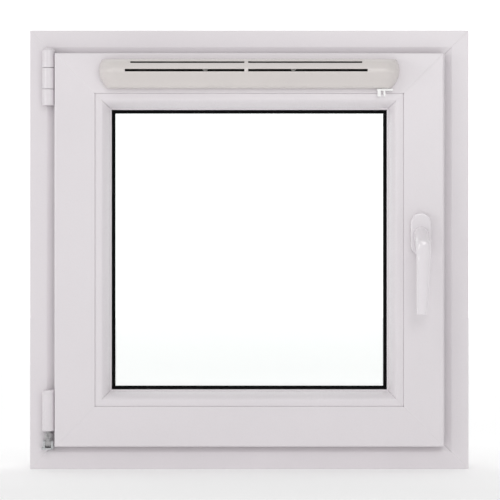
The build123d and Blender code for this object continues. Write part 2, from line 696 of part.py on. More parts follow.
def sash():
    """Every node of the sash that carries the glass and does not move on it."""
    profile, beading = sash_profile(), bead_profile()
    bands, plates, vents = sash_screws()
    screws = bands + plates + vents
    names = {"head": "top", "sill": "bottom", "left": "left", "right": "right"}
    nodes = {}
    spindle_hole = rod(9.0, (HANDLE_X, SASH_Y - 1, HANDLE_Z), (HANDLE_X, GROOVE_Y, HANDLE_Z))
    rosette_holes, rosette_screws = [], []
    for k in (-1, 1):
        z = HANDLE_Z + k * ROSETTE_SCREW
        s = rod(2.5, (HANDLE_X, SASH_Y - 3.4, z), (HANDLE_X, SASH_Y + 22, z))
        s += rod(4.4, (HANDLE_X, SASH_Y - 5.4, z), (HANDLE_X, SASH_Y - 3.4, z))
        rosette_screws.append(s)
        rosette_holes.append(rod(2.6, (HANDLE_X, SASH_Y - 9, z), (HANDLE_X, SASH_Y + 23, z)))
    for side, name in names.items():
        bar = side_bar(profile, side, SASH_INSET)
        if side == "head":
            for duct in ducts_cut(0.0):
                bar -= duct
        if side == "right":
            bar -= gearbox_room(0.3)
            bar -= spindle_hole
            for hole in rosette_holes:
                bar -= hole
        bar = drilled(bar, screws)
        nodes["sash_" + name] = layers(bar) if side == "head" else bar
        nodes["bead_" + name] = side_bar(beading, side, SASH_INSET)
    tube = box_tube(SASH_STEEL_Y, SASH_STEEL, SASH_STEEL_WALL)
    steels = [side_bar(tube, s, SASH_INSET, GLAZE_IN + 4) for s in ("sill", "left", "right")]
    steels[2] -= gearbox_room(0.5)
    steels[2] -= spindle_hole
    for hole in rosette_holes:
        steels[2] -= hole
    nodes["sash_steel"] = steels

    pane_in = GLAZE_IN + GLASS_PLAY
    nodes["glass_outer"] = ring_pane(pane_in, (GLASS_OUT_Y - GLASS, GLASS_OUT_Y))
    nodes["glass_inner"] = ring_pane(pane_in, (GLASS_IN_Y, GLASS_IN_Y + GLASS))
    gap = (GLASS_IN_Y + GLASS, GLASS_OUT_Y - GLASS)
    nodes["glass_spacer"] = ring(pane_in + 5, 7.0, gap)
    nodes["edge_seal"] = ring(pane_in, 5.0, gap)
    blocks = []
    setting_x = SASH_RIGHT - pane_in - SETTING_IN
    for x in (-setting_x, setting_x):
        z = (SASH_BOTTOM + GLAZE_IN, SASH_BOTTOM + pane_in)
        blocks.append(block((x - 40, x + 40), (GLASS_IN_Y, GLASS_OUT_Y), z))
    nodes["setting_blocks"] = blocks
    nodes["bead_gasket"] = ring(
        SASH_DAY_IN - 9, 9.0 + GASKET_SIGHT, (BEAD_BACK_Y, GLASS_IN_Y)
    )
    nodes["outer_glazing_gasket"] = ring(
        SASH_DAY_IN - 9, 9.0 + 1.5, (GLASS_OUT_Y, GLASS_OUT_Y + GASKET)
    )
    seal = ring(2.0, 4.0, (LIP_Y, LIP_Y + SEAL_GAP - 0.7))
    for z in ((SLEEVE_Z[0] - 2, SLEEVE_Z[1] + 2), (TOP_KNUCKLES[1] - 2, SASH_TOP - 8)):
        seal -= block((SASH_LEFT, SASH_LEFT + 12), (LIP_Y - 1, LIP_Y + 5), z)
    nodes["overlap_gasket"] = seal

    band = rod(5.6, (AXIS_X, AXIS_Y, SLEEVE_Z[0]), (AXIS_X, AXIS_Y, SLEEVE_Z[1]))
    band += neck(BODY_LEFT, SLEEVE_Z)
    band += block((BODY_LEFT - LEAF, BODY_LEFT), (LEAF_Y, GROOVE_Y + 10), SLEEVE_Z)
    low = SLEEVE_Z[0] - 1
    band -= rod(PIN_R + FIT, (AXIS_X, AXIS_Y, low), (AXIS_X, AXIS_Y, SLEEVE_Z[1] - 4))
    nodes["corner_band"] = drilled(band, bands)
    cover = rod(COVER_R, (AXIS_X, AXIS_Y, SLEEVE_Z[0] - 1), (AXIS_X, AXIS_Y, SLEEVE_Z[1] + 1.5))
    cover -= rod(5.7, (AXIS_X, AXIS_Y, SLEEVE_Z[0] - 2), (AXIS_X, AXIS_Y, SLEEVE_Z[1] + 0.2))
    beside = (SASH_LEFT - 0.3, SASH_LEFT + 20)
    cover -= block(beside, (AXIS_Y - 20, AXIS_Y + 20), (SLEEVE_Z[0] - 5, SLEEVE_Z[1] + 5))
    z = (SLEEVE_Z[0] - 2, SLEEVE_Z[1] + 0.2)
    cover -= block((AXIS_X - 1, SASH_LEFT + 5), (AXIS_Y - 0.5, AXIS_Y + 12), z)
    nodes["corner_band_cover"] = cover
    nodes["faceplates"] = [drilled(p, plates) for p in faceplates()]
    nodes["sash_screws"] = screws
    case = gearbox_room(0)
    y = (GROOVE_Y - 6.2, GROOVE_Y + 6.2)
    z = (HANDLE_Z - CASE_HALF + 2, HANDLE_Z + CASE_HALF - 2)
    case -= block((HANDLE_X - PITCH_R - 1.5, BODY_RIGHT), y, z)
    z = (HANDLE_Z - CASE_HALF - 10, HANDLE_Z + CASE_HALF + 10)
    case -= block((BODY_RIGHT - 6.5, BODY_RIGHT), y, z)
    case -= rod(6.0, (HANDLE_X, SASH_Y, HANDLE_Z), (HANDLE_X, 0, HANDLE_Z))
    for hole in rosette_holes:
        case -= hole
    nodes["gearbox_case"] = case
    nodes["corner_drives"] = corner_drives()
    base, cover = rosette(rosette_screws)
    nodes["rosette_base"] = base
    nodes["rosette_cover"] = cover
    nodes["rosette_screws"] = rosette_screws
    return nodes, vents


def ring_pane(inset, y):
    """A flat pane whose edge lies inset inside the sash's outline."""
    x = (SASH_LEFT + inset, SASH_RIGHT - inset)
    return block(x, y, (SASH_BOTTOM + inset, SASH_TOP - inset))


# ---- handle --------------------------------------------------------------------------
def racetrack(width, height, y):
    """A plate with round ends on the handle's axis, between two y values."""
    r = width / 2
    straight = height / 2 - r
    z = (HANDLE_Z - straight, HANDLE_Z + straight)
    plate = block((HANDLE_X - r, HANDLE_X + r), y, z)
    for end in z:
        plate += rod(r, (HANDLE_X, y[0], end), (HANDLE_X, y[1], end))
    return plate


def rosette(screws):
    """The screwed base plate and the cover that clips over it."""
    face = SASH_Y - ROSETTE_T
    base = racetrack(ROSETTE_W - 4.4, ROSETTE_H - 4.4, (SASH_Y - 5.6, SASH_Y))
    bore = rod(NECK_R - 3, (HANDLE_X, SASH_Y - 12, HANDLE_Z), (HANDLE_X, SASH_Y + 1, HANDLE_Z))
    base = drilled(base - bore, screws)
    cover = racetrack(ROSETTE_W, ROSETTE_H, (face, SASH_Y))
    cover = fillet(cover.edges().group_by(Axis.Y)[0], 1.6)
    cover -= racetrack(ROSETTE_W - 4, ROSETTE_H - 4, (face + 2, SASH_Y + 1))
    cover -= rod(NECK_R + 0.1, (HANDLE_X, face - 1, HANDLE_Z), (HANDLE_X, SASH_Y, HANDLE_Z))
    return base, cover


def handle():
    """Lever, square spindle and pinion, which turn together."""
    foot = SASH_Y - ROSETTE_T + 2.4
    front = SASH_Y - HANDLE_OUT
    back = front + LEVER_T
    end = HANDLE_Z - LEVER_END
    neck_y = SASH_Y - ROSETTE_T - 1.5
    profile = Polyline(
        (neck_y, HANDLE_Z - NECK_R), (neck_y, HANDLE_Z + NECK_R), (neck_y - 5, HANDLE_Z + NECK_R)
    )
    bend = Vector(front, HANDLE_Z - 18)
    profile += TangentArc((neck_y - 5, HANDLE_Z + NECK_R), (bend.X, bend.Y), tangent=(-1, 0))
    profile += Polyline((bend.X, bend.Y), (front, end), (back, end), (back, HANDLE_Z - 28))
    profile += TangentArc((back, HANDLE_Z - 28), (neck_y, HANDLE_Z - NECK_R), tangent=(0, 1))
    side = extrude(Plane.YZ.offset(HANDLE_X) * make_face(profile), amount=20, both=True)
    a, b = LEVER_W_TOP / 2, LEVER_W_END / 2
    z = HANDLE_Z - 46
    outline = [
        (HANDLE_X - NECK_R, HANDLE_Z),
        (HANDLE_X - a, z),
        (HANDLE_X - b - 1, end),
        (HANDLE_X + b - 1, end),
        (HANDLE_X + a, z),
        (HANDLE_X + NECK_R, HANDLE_Z),
    ]
    shape = Plane.XZ * face_of(outline)
    shape = extrude(shape, amount=150, both=True)
    shape += rod(NECK_R, (HANDLE_X, front - 5, HANDLE_Z), (HANDLE_X, 0, HANDLE_Z))
    lever = side & shape
    lever += rod(NECK_R, (HANDLE_X, foot, HANDLE_Z), (HANDLE_X, neck_y, HANDLE_Z))
    half = SPINDLE / 2
    square = block(
        (HANDLE_X - half, HANDLE_X + half),
        (foot - 14, GROOVE_Y + 7.8),
        (HANDLE_Z - half, HANDLE_Z + half),
    )
    lever -= square
    return lever, square, pinion() - square


def involute_tooth(count, module, addendum, thin):
    """Half-angle function of one tooth flank: (radius, half angle) pairs from root to tip."""
    pressure = math.radians(20)
    pitch = module * count / 2
    base = pitch * math.cos(pressure)
    involute = math.tan(pressure) - pressure
    half = math.pi / 2 / count - thin / pitch
    flank = []
    root, tip = pitch - 1.15 * module, pitch + addendum
    for i in range(6):
        r = max(root, base) + (tip - max(root, base)) * i / 5
        a = math.acos(min(1.0, base / r))
        flank.append((r, half + involute - (math.tan(a) - a)))
    return [(root, flank[0][1])] + flank


def pinion():
    """The follower: a spur gear on the spindle, inside the gearbox."""
    flank = involute_tooth(TEETH, MODULE, 0.8 * MODULE, 0.06)
    points = []
    for tooth in range(TEETH):
        middle = 2 * math.pi * (tooth + 0.5) / TEETH
        for r, half in flank:
            points.append((r * math.cos(middle - half), r * math.sin(middle - half)))
        for r, half in reversed(flank):
            points.append((r * math.cos(middle + half), r * math.sin(middle + half)))
    gear = extrude(Plane.XZ * face_of(points), amount=4.5, both=True)
    return Pos(HANDLE_X, GROOVE_Y, HANDLE_Z) * gear


def rods():
    """Each lock rod and its cams, keyed by side, at rest."""
    base = ROD_SUNK
    y = (GROOVE_Y - ROD_W / 2, GROOVE_Y + ROD_W / 2)
    pitch_x = HANDLE_X + PITCH_R
    outer_x = BODY_RIGHT - base
    right = block((outer_x - ROD_T, outer_x), y, ROD_SIDE_Z)
    # the rack: rod cut back to the tooth roots, then straight teeth added
    pitch = math.pi * MODULE
    tilt = math.tan(math.radians(20))
    half = pitch / 4 - 0.06
    tip, root = pitch_x - 0.8 * MODULE, pitch_x + 1.15 * MODULE
    wide = (y[0] - 1, y[1] + 1)
    right -= block((outer_x - ROD_T - 1, root), wide, (HANDLE_Z - 12, HANDLE_Z + 34))
    for i in range(-3, 11):
        z = HANDLE_Z + i * pitch
        inner = half - tilt * 0.8 * MODULE
        outer = half + tilt * 1.15 * MODULE
        tooth = [(tip, z - inner), (tip, z + inner), (root, z + outer), (root, z - outer)]
        made = extrude(Plane.XZ.offset(-GROOVE_Y) * face_of(tooth), amount=ROD_W / 2, both=True)
        right += made
    top = block(ROD_HEAD_X, y, (BODY_TOP - base - ROD_T, BODY_TOP - base))
    low = block(ROD_SILL_X, y, (BODY_BOTTOM + base, BODY_BOTTOM + base + ROD_T))
    cams = {"right": [], "head": [], "sill": []}
    for side, at, _ in cam_places():
        if side == "right":
            start, out = Vector(outer_x, GROOVE_Y, at), Vector(1, 0, 0)
        elif side == "head":
            start, out = Vector(at, GROOVE_Y, BODY_TOP - base), Vector(0, 0, 1)
        else:
            start, out = Vector(at, GROOVE_Y, BODY_BOTTOM + base), Vector(0, 0, -1)
        high = base + CAM_TIP
        cam = rod(CAM_STEM_R, start, start + out * high)
        cam += rod(CAM_R, start + out * (base + 1.0), start + out * (high - 1.5))
        cam += rod(CAM_R + 0.6, start + out * (high - 1.5), start + out * high)
        cams[side].append(cam)
    return right, top, low, cams


# ---- vent ----------------------------------------------------------------------------
def vent_outline(inset):
    """The hood's section as (y, z) points, from the foot of its back to the top."""
    low, high = VENT_Z
    out = SASH_Y - VENT_OUT
    points = [
        (SASH_Y, low + inset),
        (SASH_Y - 8.0, low + inset),
        (SASH_Y - 22.0 + inset, low + 5 + inset * 0.6),
        (out + 2.5 + inset, low + 14 + inset * 0.3),
        (out + inset, low + 22),
        (out + 4 + inset, low + 29 - inset * 0.4),
        (SASH_Y - 23.0 + inset, low + 37 - inset * 0.8),
        (SASH_Y - 10.0, high - inset),
        (SASH_Y, high - inset),
    ]
    return points


def vent(screws):
    """The room-side vent, its control, and the hood on the outside."""
    half = VENT_W / 2
    low, high = VENT_Z
    nodes = {}
    x = (-half + VENT_PLATE_IN, half - VENT_PLATE_IN)
    z = (low + VENT_WALL + VENT_PLAY, high - VENT_WALL - VENT_PLAY)
    plate = block(x, (SASH_Y - VENT_PLATE, SASH_Y), z)
    for k in (-1, 1):
        x = sorted((k * DUCT_X[0], k * DUCT_X[1]))
        plate -= block(x, (SASH_Y - VENT_PLATE - 1, SASH_Y + 1), DUCT_Z)
        x = sorted((k * (EAR_X - 2), k * (EAR_X + 2)))
        plate += block(x, (FLAP_Y - 2.5, SASH_Y - VENT_PLATE), (FLAP_Z - 2.5, FLAP_Z + 2.5))
    plate -= rod(FLAP_PIN_R + FIT, (-EAR_X - 3, FLAP_Y, FLAP_Z), (EAR_X + 3, FLAP_Y, FLAP_Z))
    nodes["vent_base"] = drilled(plate, screws)

    cover = prism_x(vent_outline(0), (-half, half))
    cover -= prism_x(vent_outline(VENT_WALL), (-half + 2, half - 2))
    for up, tall, long in SLOTS:
        z = (low + up - tall / 2, low + up + tall / 2)
        for k in (-1, 1):
            near, far = SLOT_SHIFT + k * SLOT_WEB / 2, SLOT_SHIFT + k * (SLOT_WEB / 2 + long)
            cover -= block(sorted((near, far)), (SASH_Y - VENT_OUT - 5, SASH_Y - 16), z)
    slot_y = (SASH_Y - 7.2, SASH_Y - 3.0)
    cover -= block((TAB_X - TAB_TRAVEL - 6, TAB_X + 6), slot_y, (low - 1, low + 3))
    nodes["vent_cover"] = cover

    x = (-EAR_X + 2.5, EAR_X - 2.5)
    flap = block(x, (FLAP_Y - 0.8, FLAP_Y + 0.8), (DUCT_Z[0] - 0.6, FLAP_Z))
    flap += rod(1.6, (x[0], FLAP_Y, FLAP_Z), (x[1], FLAP_Y, FLAP_Z))
    flap += rod(FLAP_PIN_R, (-EAR_X - 1.5, FLAP_Y, FLAP_Z), (EAR_X + 1.5, FLAP_Y, FLAP_Z))
    nodes["vent_flap"] = flap

    tab = block((TAB_X - 11, TAB_X + 11), (SASH_Y - 9, SASH_Y - 3), (low - 3.2, low - 0.3))
    tab += block((TAB_X - 4, TAB_X + 4), (slot_y[0] + 0.3, slot_y[1] - 0.3), (low - 1, low + 2.4))
    tab += block((TAB_X - 10, TAB_X - 5.5), (SASH_Y - 9, SASH_Y - 6), (low - 11, low - 3))
    tab += block((TAB_X - 2, TAB_X + 0.5), (SASH_Y - 9, SASH_Y - 6), (low - 11, low - 3))
    nodes["vent_tab"] = tab

    sleeves = []
    for k in (-1, 1):
        x = sorted((k * DUCT_X[0], k * DUCT_X[1]))
        y = (SASH_Y + DUCT_PLAY, SASH_OUT_Y - DUCT_PLAY)
        a, b = DUCT_PLAY, DUCT_PLAY + DUCT_WALL
        outer = block((x[0] + a, x[1] - a), y, (DUCT_Z[0] + a, DUCT_Z[1] - a))
        x, y = (x[0] + b, x[1] - b), (y[0] - 1, y[1] + 1)
        sleeves.append(outer - block(x, y, (DUCT_Z[0] + b, DUCT_Z[1] - b)))
    nodes["vent_ducts"] = sleeves

    y = (SASH_OUT_Y, SASH_OUT_Y + HOOD_D)
    slope = [(y[0], HOOD_Z[0]), (y[1], HOOD_Z[0]), (y[1], HOOD_Z[1] - 9), (y[0], HOOD_Z[1])]
    hood = prism_x(slope, (-HOOD_X, HOOD_X))
    t = HOOD_WALL
    inner = [(y[0] - 1, HOOD_Z[0] - 1), (y[1] - t, HOOD_Z[0] - 1)]
    inner += [(y[1] - t, HOOD_Z[1] - 9 - t), (y[0] - 1, HOOD_Z[1] - t)]
    hood -= prism_x(inner, (-HOOD_X + t, HOOD_X - t))
    nodes["vent_hood"] = hood
    mesh_z = (HOOD_Z[0] + 1, HOOD_Z[0] + 2.5)
    mesh = block((-HOOD_X + t, HOOD_X - t), (y[0] + 0.3, y[1] - t), mesh_z)
    count, first, half_slot = 48, -HOOD_X + 12, 2.6
    step = 2 * -first / (count - 1)
    for i in range(count):
        x = first + i * step
        mesh -= block((x - half_slot, x + half_slot), (y[0] + 3, y[1] - t - 2), HOOD_Z)
    nodes["insect_mesh"] = mesh
    return nodes


# ---- everything ----------------------------------------------------------------------
def main():
    nodes = outer_frame()
    parts, vent_screws = sash()
    nodes |= parts
    nodes |= vent(vent_screws)
    nodes["corner_pin"] = corner_pin()
    nodes["stay_band"] = stay_band()
    nodes["stay_arm"], nodes["stay_shoe"] = stay_parts()
    nodes["handle_lever"], nodes["handle_spindle"], nodes["gear_pinion"] = handle()
    right, top, low, cams = rods()
    nodes |= {"rod_side": right, "rod_top": top, "rod_bottom": low}
    nodes |= {"cams_side": cams["right"], "cam_top": cams["head"], "cam_bottom": cams["sill"]}
    os.makedirs("parts", exist_ok=True)
    for name, shape in nodes.items():
        if isinstance(shape, list):
            shape = Compound(children=[s for part in shape for s in part.solids()])
        export_step(shape, f"parts/{name}.step")


main()
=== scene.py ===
"""A white tilt-and-turn window: outer frame, glazed sash, lever handle, hinges and trickle vent.

Every piece is a surface worked out on a grid of two parameters. Sizes are in millimetres in
the classes and become metres where a mesh is made. +Z is up and the room is on the -Y side.
"""

import json
import logging
import math
from dataclasses import dataclass, field
from enum import Enum

import bpy
import numpy as np
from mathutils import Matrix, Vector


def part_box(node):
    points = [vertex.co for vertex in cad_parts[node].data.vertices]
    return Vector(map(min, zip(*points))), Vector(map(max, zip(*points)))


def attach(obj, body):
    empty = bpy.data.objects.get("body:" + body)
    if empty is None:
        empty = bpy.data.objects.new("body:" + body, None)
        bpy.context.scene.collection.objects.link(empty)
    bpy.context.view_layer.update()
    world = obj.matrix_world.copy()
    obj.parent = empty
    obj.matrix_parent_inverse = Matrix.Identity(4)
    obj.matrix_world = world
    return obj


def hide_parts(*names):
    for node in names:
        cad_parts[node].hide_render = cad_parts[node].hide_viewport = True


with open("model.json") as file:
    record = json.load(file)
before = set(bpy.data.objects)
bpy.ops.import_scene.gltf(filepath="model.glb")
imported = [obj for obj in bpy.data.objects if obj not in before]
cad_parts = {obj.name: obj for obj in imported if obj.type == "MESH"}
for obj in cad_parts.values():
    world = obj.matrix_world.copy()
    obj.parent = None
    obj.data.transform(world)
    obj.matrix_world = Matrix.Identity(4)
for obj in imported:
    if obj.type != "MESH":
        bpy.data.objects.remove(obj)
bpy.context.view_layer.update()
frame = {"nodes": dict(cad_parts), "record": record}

MM = 0.001
log = logging.getLogger("window")


# ---- surfaces ------------------------------------------------------------------------
class Side(Enum):
    """The four sides of a mitred rectangle, with the turn about Y that brings the sill there."""

    SILL = 0.0
    RIGHT = -90.0
    HEAD = 180.0
    LEFT = 90.0

    @property
    def upright(self) -> bool:
        """True on the two standing sides."""
        return self in (Side.LEFT, Side.RIGHT)


def corner_box(node: str) -> np.ndarray:
    """A CAD node's lowest and highest corners in millimetres.

    Args:
        node: the node's name.

    Returns:
        Two rows of x, y, z.
    """
    return np.array([list(c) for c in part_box(node)]) / MM


def rounded(corners: np.ndarray, radii: np.ndarray, steps: int = 5) -> np.ndarray:
    """A closed outline whose corners are arcs.

    At a corner P between unit directions a and b, the arc's centre lies on their bisector at
    r / sin(half angle), and it touches both edges at r / tan(half angle) from P. A point just
    outside each end of the arc keeps the flat beside it flat when it is shaded.

    Args:
        corners: (n, 2) corner points in order.
        radii: (n,) radius at each corner.
        steps: pieces of each arc.

    Returns:
        (n * (steps + 3), 2) points in the same order.
    """
    before, after = np.roll(corners, 1, axis=0), np.roll(corners, -1, axis=0)
    a, b = before - corners, after - corners
    long_a = np.linalg.norm(a, axis=1, keepdims=True)
    long_b = np.linalg.norm(b, axis=1, keepdims=True)
    a, b = a / long_a, b / long_b
    half = np.arccos(np.clip((a * b).sum(1, keepdims=True), -1, 1)) / 2
    r = radii[:, None]
    touch = r / np.tan(half)
    centre = corners + (a + b) / np.linalg.norm(a + b, axis=1, keepdims=True) * r / np.sin(half)
    start, end = corners + a * touch - centre, corners + b * touch - centre
    turn = np.arctan2(start[:, 0] * end[:, 1] - start[:, 1] * end[:, 0], (start * end).sum(1))
    angle = turn[:, None] * np.linspace(0, 1, steps + 1)[None]
    c, s = np.cos(angle), np.sin(angle)
    arc = np.stack([c * start[:, :1] - s * start[:, 1:], s * start[:, :1] + c * start[:, 1:]], 2)
    arc = arc + centre[:, None]
    room_a = np.minimum(0.4, 0.3 * np.maximum(long_a - touch, 0.01))
    room_b = np.minimum(0.4, 0.3 * np.maximum(long_b - touch, 0.01))
    lead = (corners + a * (touch + room_a))[:, None]
    tail = (corners + b * (touch + room_b))[:, None]
    return np.concatenate([lead, arc, tail], axis=1).reshape(-1, 2)


def outward(outline: np.ndarray) -> np.ndarray:
    """Unit normals of a closed outline, pointing out of it.

    The tangent at a point runs from its neighbour before to its neighbour after, and the
    normal is that turned a quarter, signed by the outline's area.

    Args:
        outline: (n, 2) points.

    Returns:
        (n, 2) unit vectors.
    """
    along = np.roll(outline, -1, axis=0) - np.roll(outline, 1, axis=0)
    along /= np.maximum(np.linalg.norm(along, axis=1, keepdims=True), 1e-9)
    x, y = outline.T
    area = (x * np.roll(y, -1) - y * np.roll(x, -1)).sum()
    return np.stack([along[:, 1], -along[:, 0]], 1) * np.sign(area)


def loft(rings: np.ndarray, ring: bool = False) -> tuple[np.ndarray, list[list[int]]]:
    """A closed skin over rings of points.

    Point (i, j) joins (i + 1, j + 1) round every ring. The ends are flat caps, or the last
    ring joins the first. The faces are turned so that the skin's signed volume is positive.

    Args:
        rings: (m, n, 3) points.
        ring: True where the last ring joins the first.

    Returns:
        Points and faces.
    """
    m, n, _ = rings.shape
    points = rings.reshape(-1, 3)
    i = np.arange(m if ring else m - 1)[:, None]
    j = np.arange(n)[None]
    k = (j + 1) % n
    i2 = (i + 1) % m
    quads = np.stack([i * n + j, i2 * n + j, i2 * n + k, i * n + k], -1).reshape(-1, 4)
    a, b, c, d = (points[quads[:, q]] for q in range(4))
    volume = (np.cross(a, b) * c).sum() + (np.cross(a, c) * d).sum()
    faces = quads.tolist()
    if not ring:
        first, last = np.arange(n), (m - 1) * n + np.arange(n)
        for cap in (first, last[::-1]):
            fan = points[cap]
            volume += (np.cross(fan[0], fan[1:-1]) * fan[2:]).sum()
            faces.append(cap.tolist())
    if volume < 0:
        faces = [face[::-1] for face in faces]
    return points, faces


def make_piece(
    name: str,
    skins: list[tuple[np.ndarray, list[list[int]]]],
    sharp: float = 38.0,
) -> bpy.types.Object:
    """A mesh object in metres from one or more skins in millimetres.

    Args:
        name: the piece's name.
        skins: points and faces of each skin.
        sharp: angle in degrees above which an edge is drawn sharp.

    Returns:
        The new object, at the origin.
    """
    points, faces, base = [], [], 0
    for skin_points, skin_faces in skins:
        points.append(skin_points)
        faces += [[v + base for v in face] for face in skin_faces]
        base += len(skin_points)
    mesh = bpy.data.meshes.new(name)
    mesh.from_pydata((np.concatenate(points) * MM).tolist(), [], faces)
    mesh.polygons.foreach_set("use_smooth", np.ones(len(mesh.polygons), bool))
    mesh.validate()
    mesh.update()
    mesh.set_sharp_from_angle(angle=math.radians(sharp))
    piece = bpy.data.objects.new(name, mesh)
    bpy.context.scene.collection.objects.link(piece)
    return piece


def mitred_bar(
    outline: np.ndarray,
    side: Side,
    size: tuple[float, float],
    middle: tuple[float, float],
    seam: tuple[float, float] = (0.0, 0.6),
    gap: float = 0.0,
) -> tuple[np.ndarray, list[list[int]]]:
    """One bar of a mitred rectangle.

    The outline's (y, in) points are carried along the side. A point "in" from the outer edge
    ends at half the length minus "in", which makes a 45 degree end. Near each end the skin
    sinks along its normals to form half of the shallow groove of a cleaned weld.

    Args:
        outline: (n, 2) closed outline of y and distance inward.
        side: which side the bar is.
        size: the rectangle's width and height.
        middle: the rectangle's centre as x, z.
        seam: the groove's depth and width.
        gap: space left before the mitre plane.

    Returns:
        Points and faces.
    """
    w, h = size
    length, half = (h, w / 2) if side.upright else (w, h / 2)
    depth, width = seam
    back = np.array([0.0, 0.45, 1.0, 1.5]) * width + gap
    sink = np.array([1.0, 0.8, 0.0, 0.0]) * depth
    back, sink = np.concatenate([back, back[::-1]]), np.concatenate([sink, sink[::-1]])
    sign = np.repeat([-1.0, 1.0], 4)[:, None]
    y, inn = outline.T
    n = outward(outline)
    x = sign * (length / 2 - inn[None] - back[:, None])
    yy = y[None] - n[None, :, 0] * sink[:, None]
    z = -half + inn[None] - n[None, :, 1] * sink[:, None]
    turn = math.radians(side.value)
    c, s = round(math.cos(turn)), round(math.sin(turn))
    return loft(np.stack([c * x + s * z + middle[0], yy, c * z - s * x + middle[1]], -1))


def lathe(profile: np.ndarray, axis: tuple[float, float], steps: int = 48) -> np.ndarray:
    """Rings of an upright turned shape: each profile row (radius, z) is one circle.

    Args:
        profile: (m, 2) radius and height.
        axis: x and y of the axis.
        steps: points round each circle.

    Returns:
        (m, steps, 3) rings.
    """
    angle = np.linspace(0, 2 * math.pi, steps, endpoint=False)
    r, z = profile[:, :1], profile[:, 1:]
    return np.stack(
        [axis[0] + r * np.cos(angle), axis[1] + r * np.sin(angle), z + 0 * angle], -1
    )


def round_rim(radius: float, low: float, high: float, rim: float, steps: int = 5) -> np.ndarray:
    """Profile (radius, z) of a disc with quarter-round rims, from its low face to its high one.

    Args:
        radius: outer radius.
        low: lower z.
        high: upper z.
        rim: radius of each quarter round.
        steps: pieces of each quarter.

    Returns:
        (m, 2) rows.
    """
    a = np.linspace(0, math.pi / 2, steps + 1)
    up = np.stack([radius - rim + rim * np.sin(a), low + rim - rim * np.cos(a)], 1)
    flat = np.array([[radius - rim - 0.8, low], [radius - rim - 0.3, low]])
    lower = np.concatenate([flat, up, [[radius, low + rim + 0.3]]])
    upper = lower[::-1] * [1, -1] + [0, low + high]
    return np.concatenate([lower, upper])


def smooth_steps(t: np.ndarray, keys: np.ndarray, values: np.ndarray) -> np.ndarray:
    """Values along a smooth curve through keyed values.

    Between two keys each value follows a cubic whose slopes at the keys are the mean slopes
    of the spans beside them.

    Args:
        t: where to read the curve.
        keys: (k,) rising key places.
        values: (k,) or (k, d) values at the keys.

    Returns:
        One row for each t.
    """
    values = values.reshape(len(keys), -1)
    slope = np.gradient(values, keys, axis=0)
    i = np.clip(np.searchsorted(keys, t, side="right") - 1, 0, len(keys) - 2)
    span = (keys[i + 1] - keys[i])[:, None]
    u = (t - keys[i])[:, None] / span
    a, b = values[i], values[i + 1]
    p, q = slope[i] * span, slope[i + 1] * span
    return a + u * p + u**2 * (3 * (b - a) - 2 * p - q) + u**3 * (2 * (a - b) + p + q)


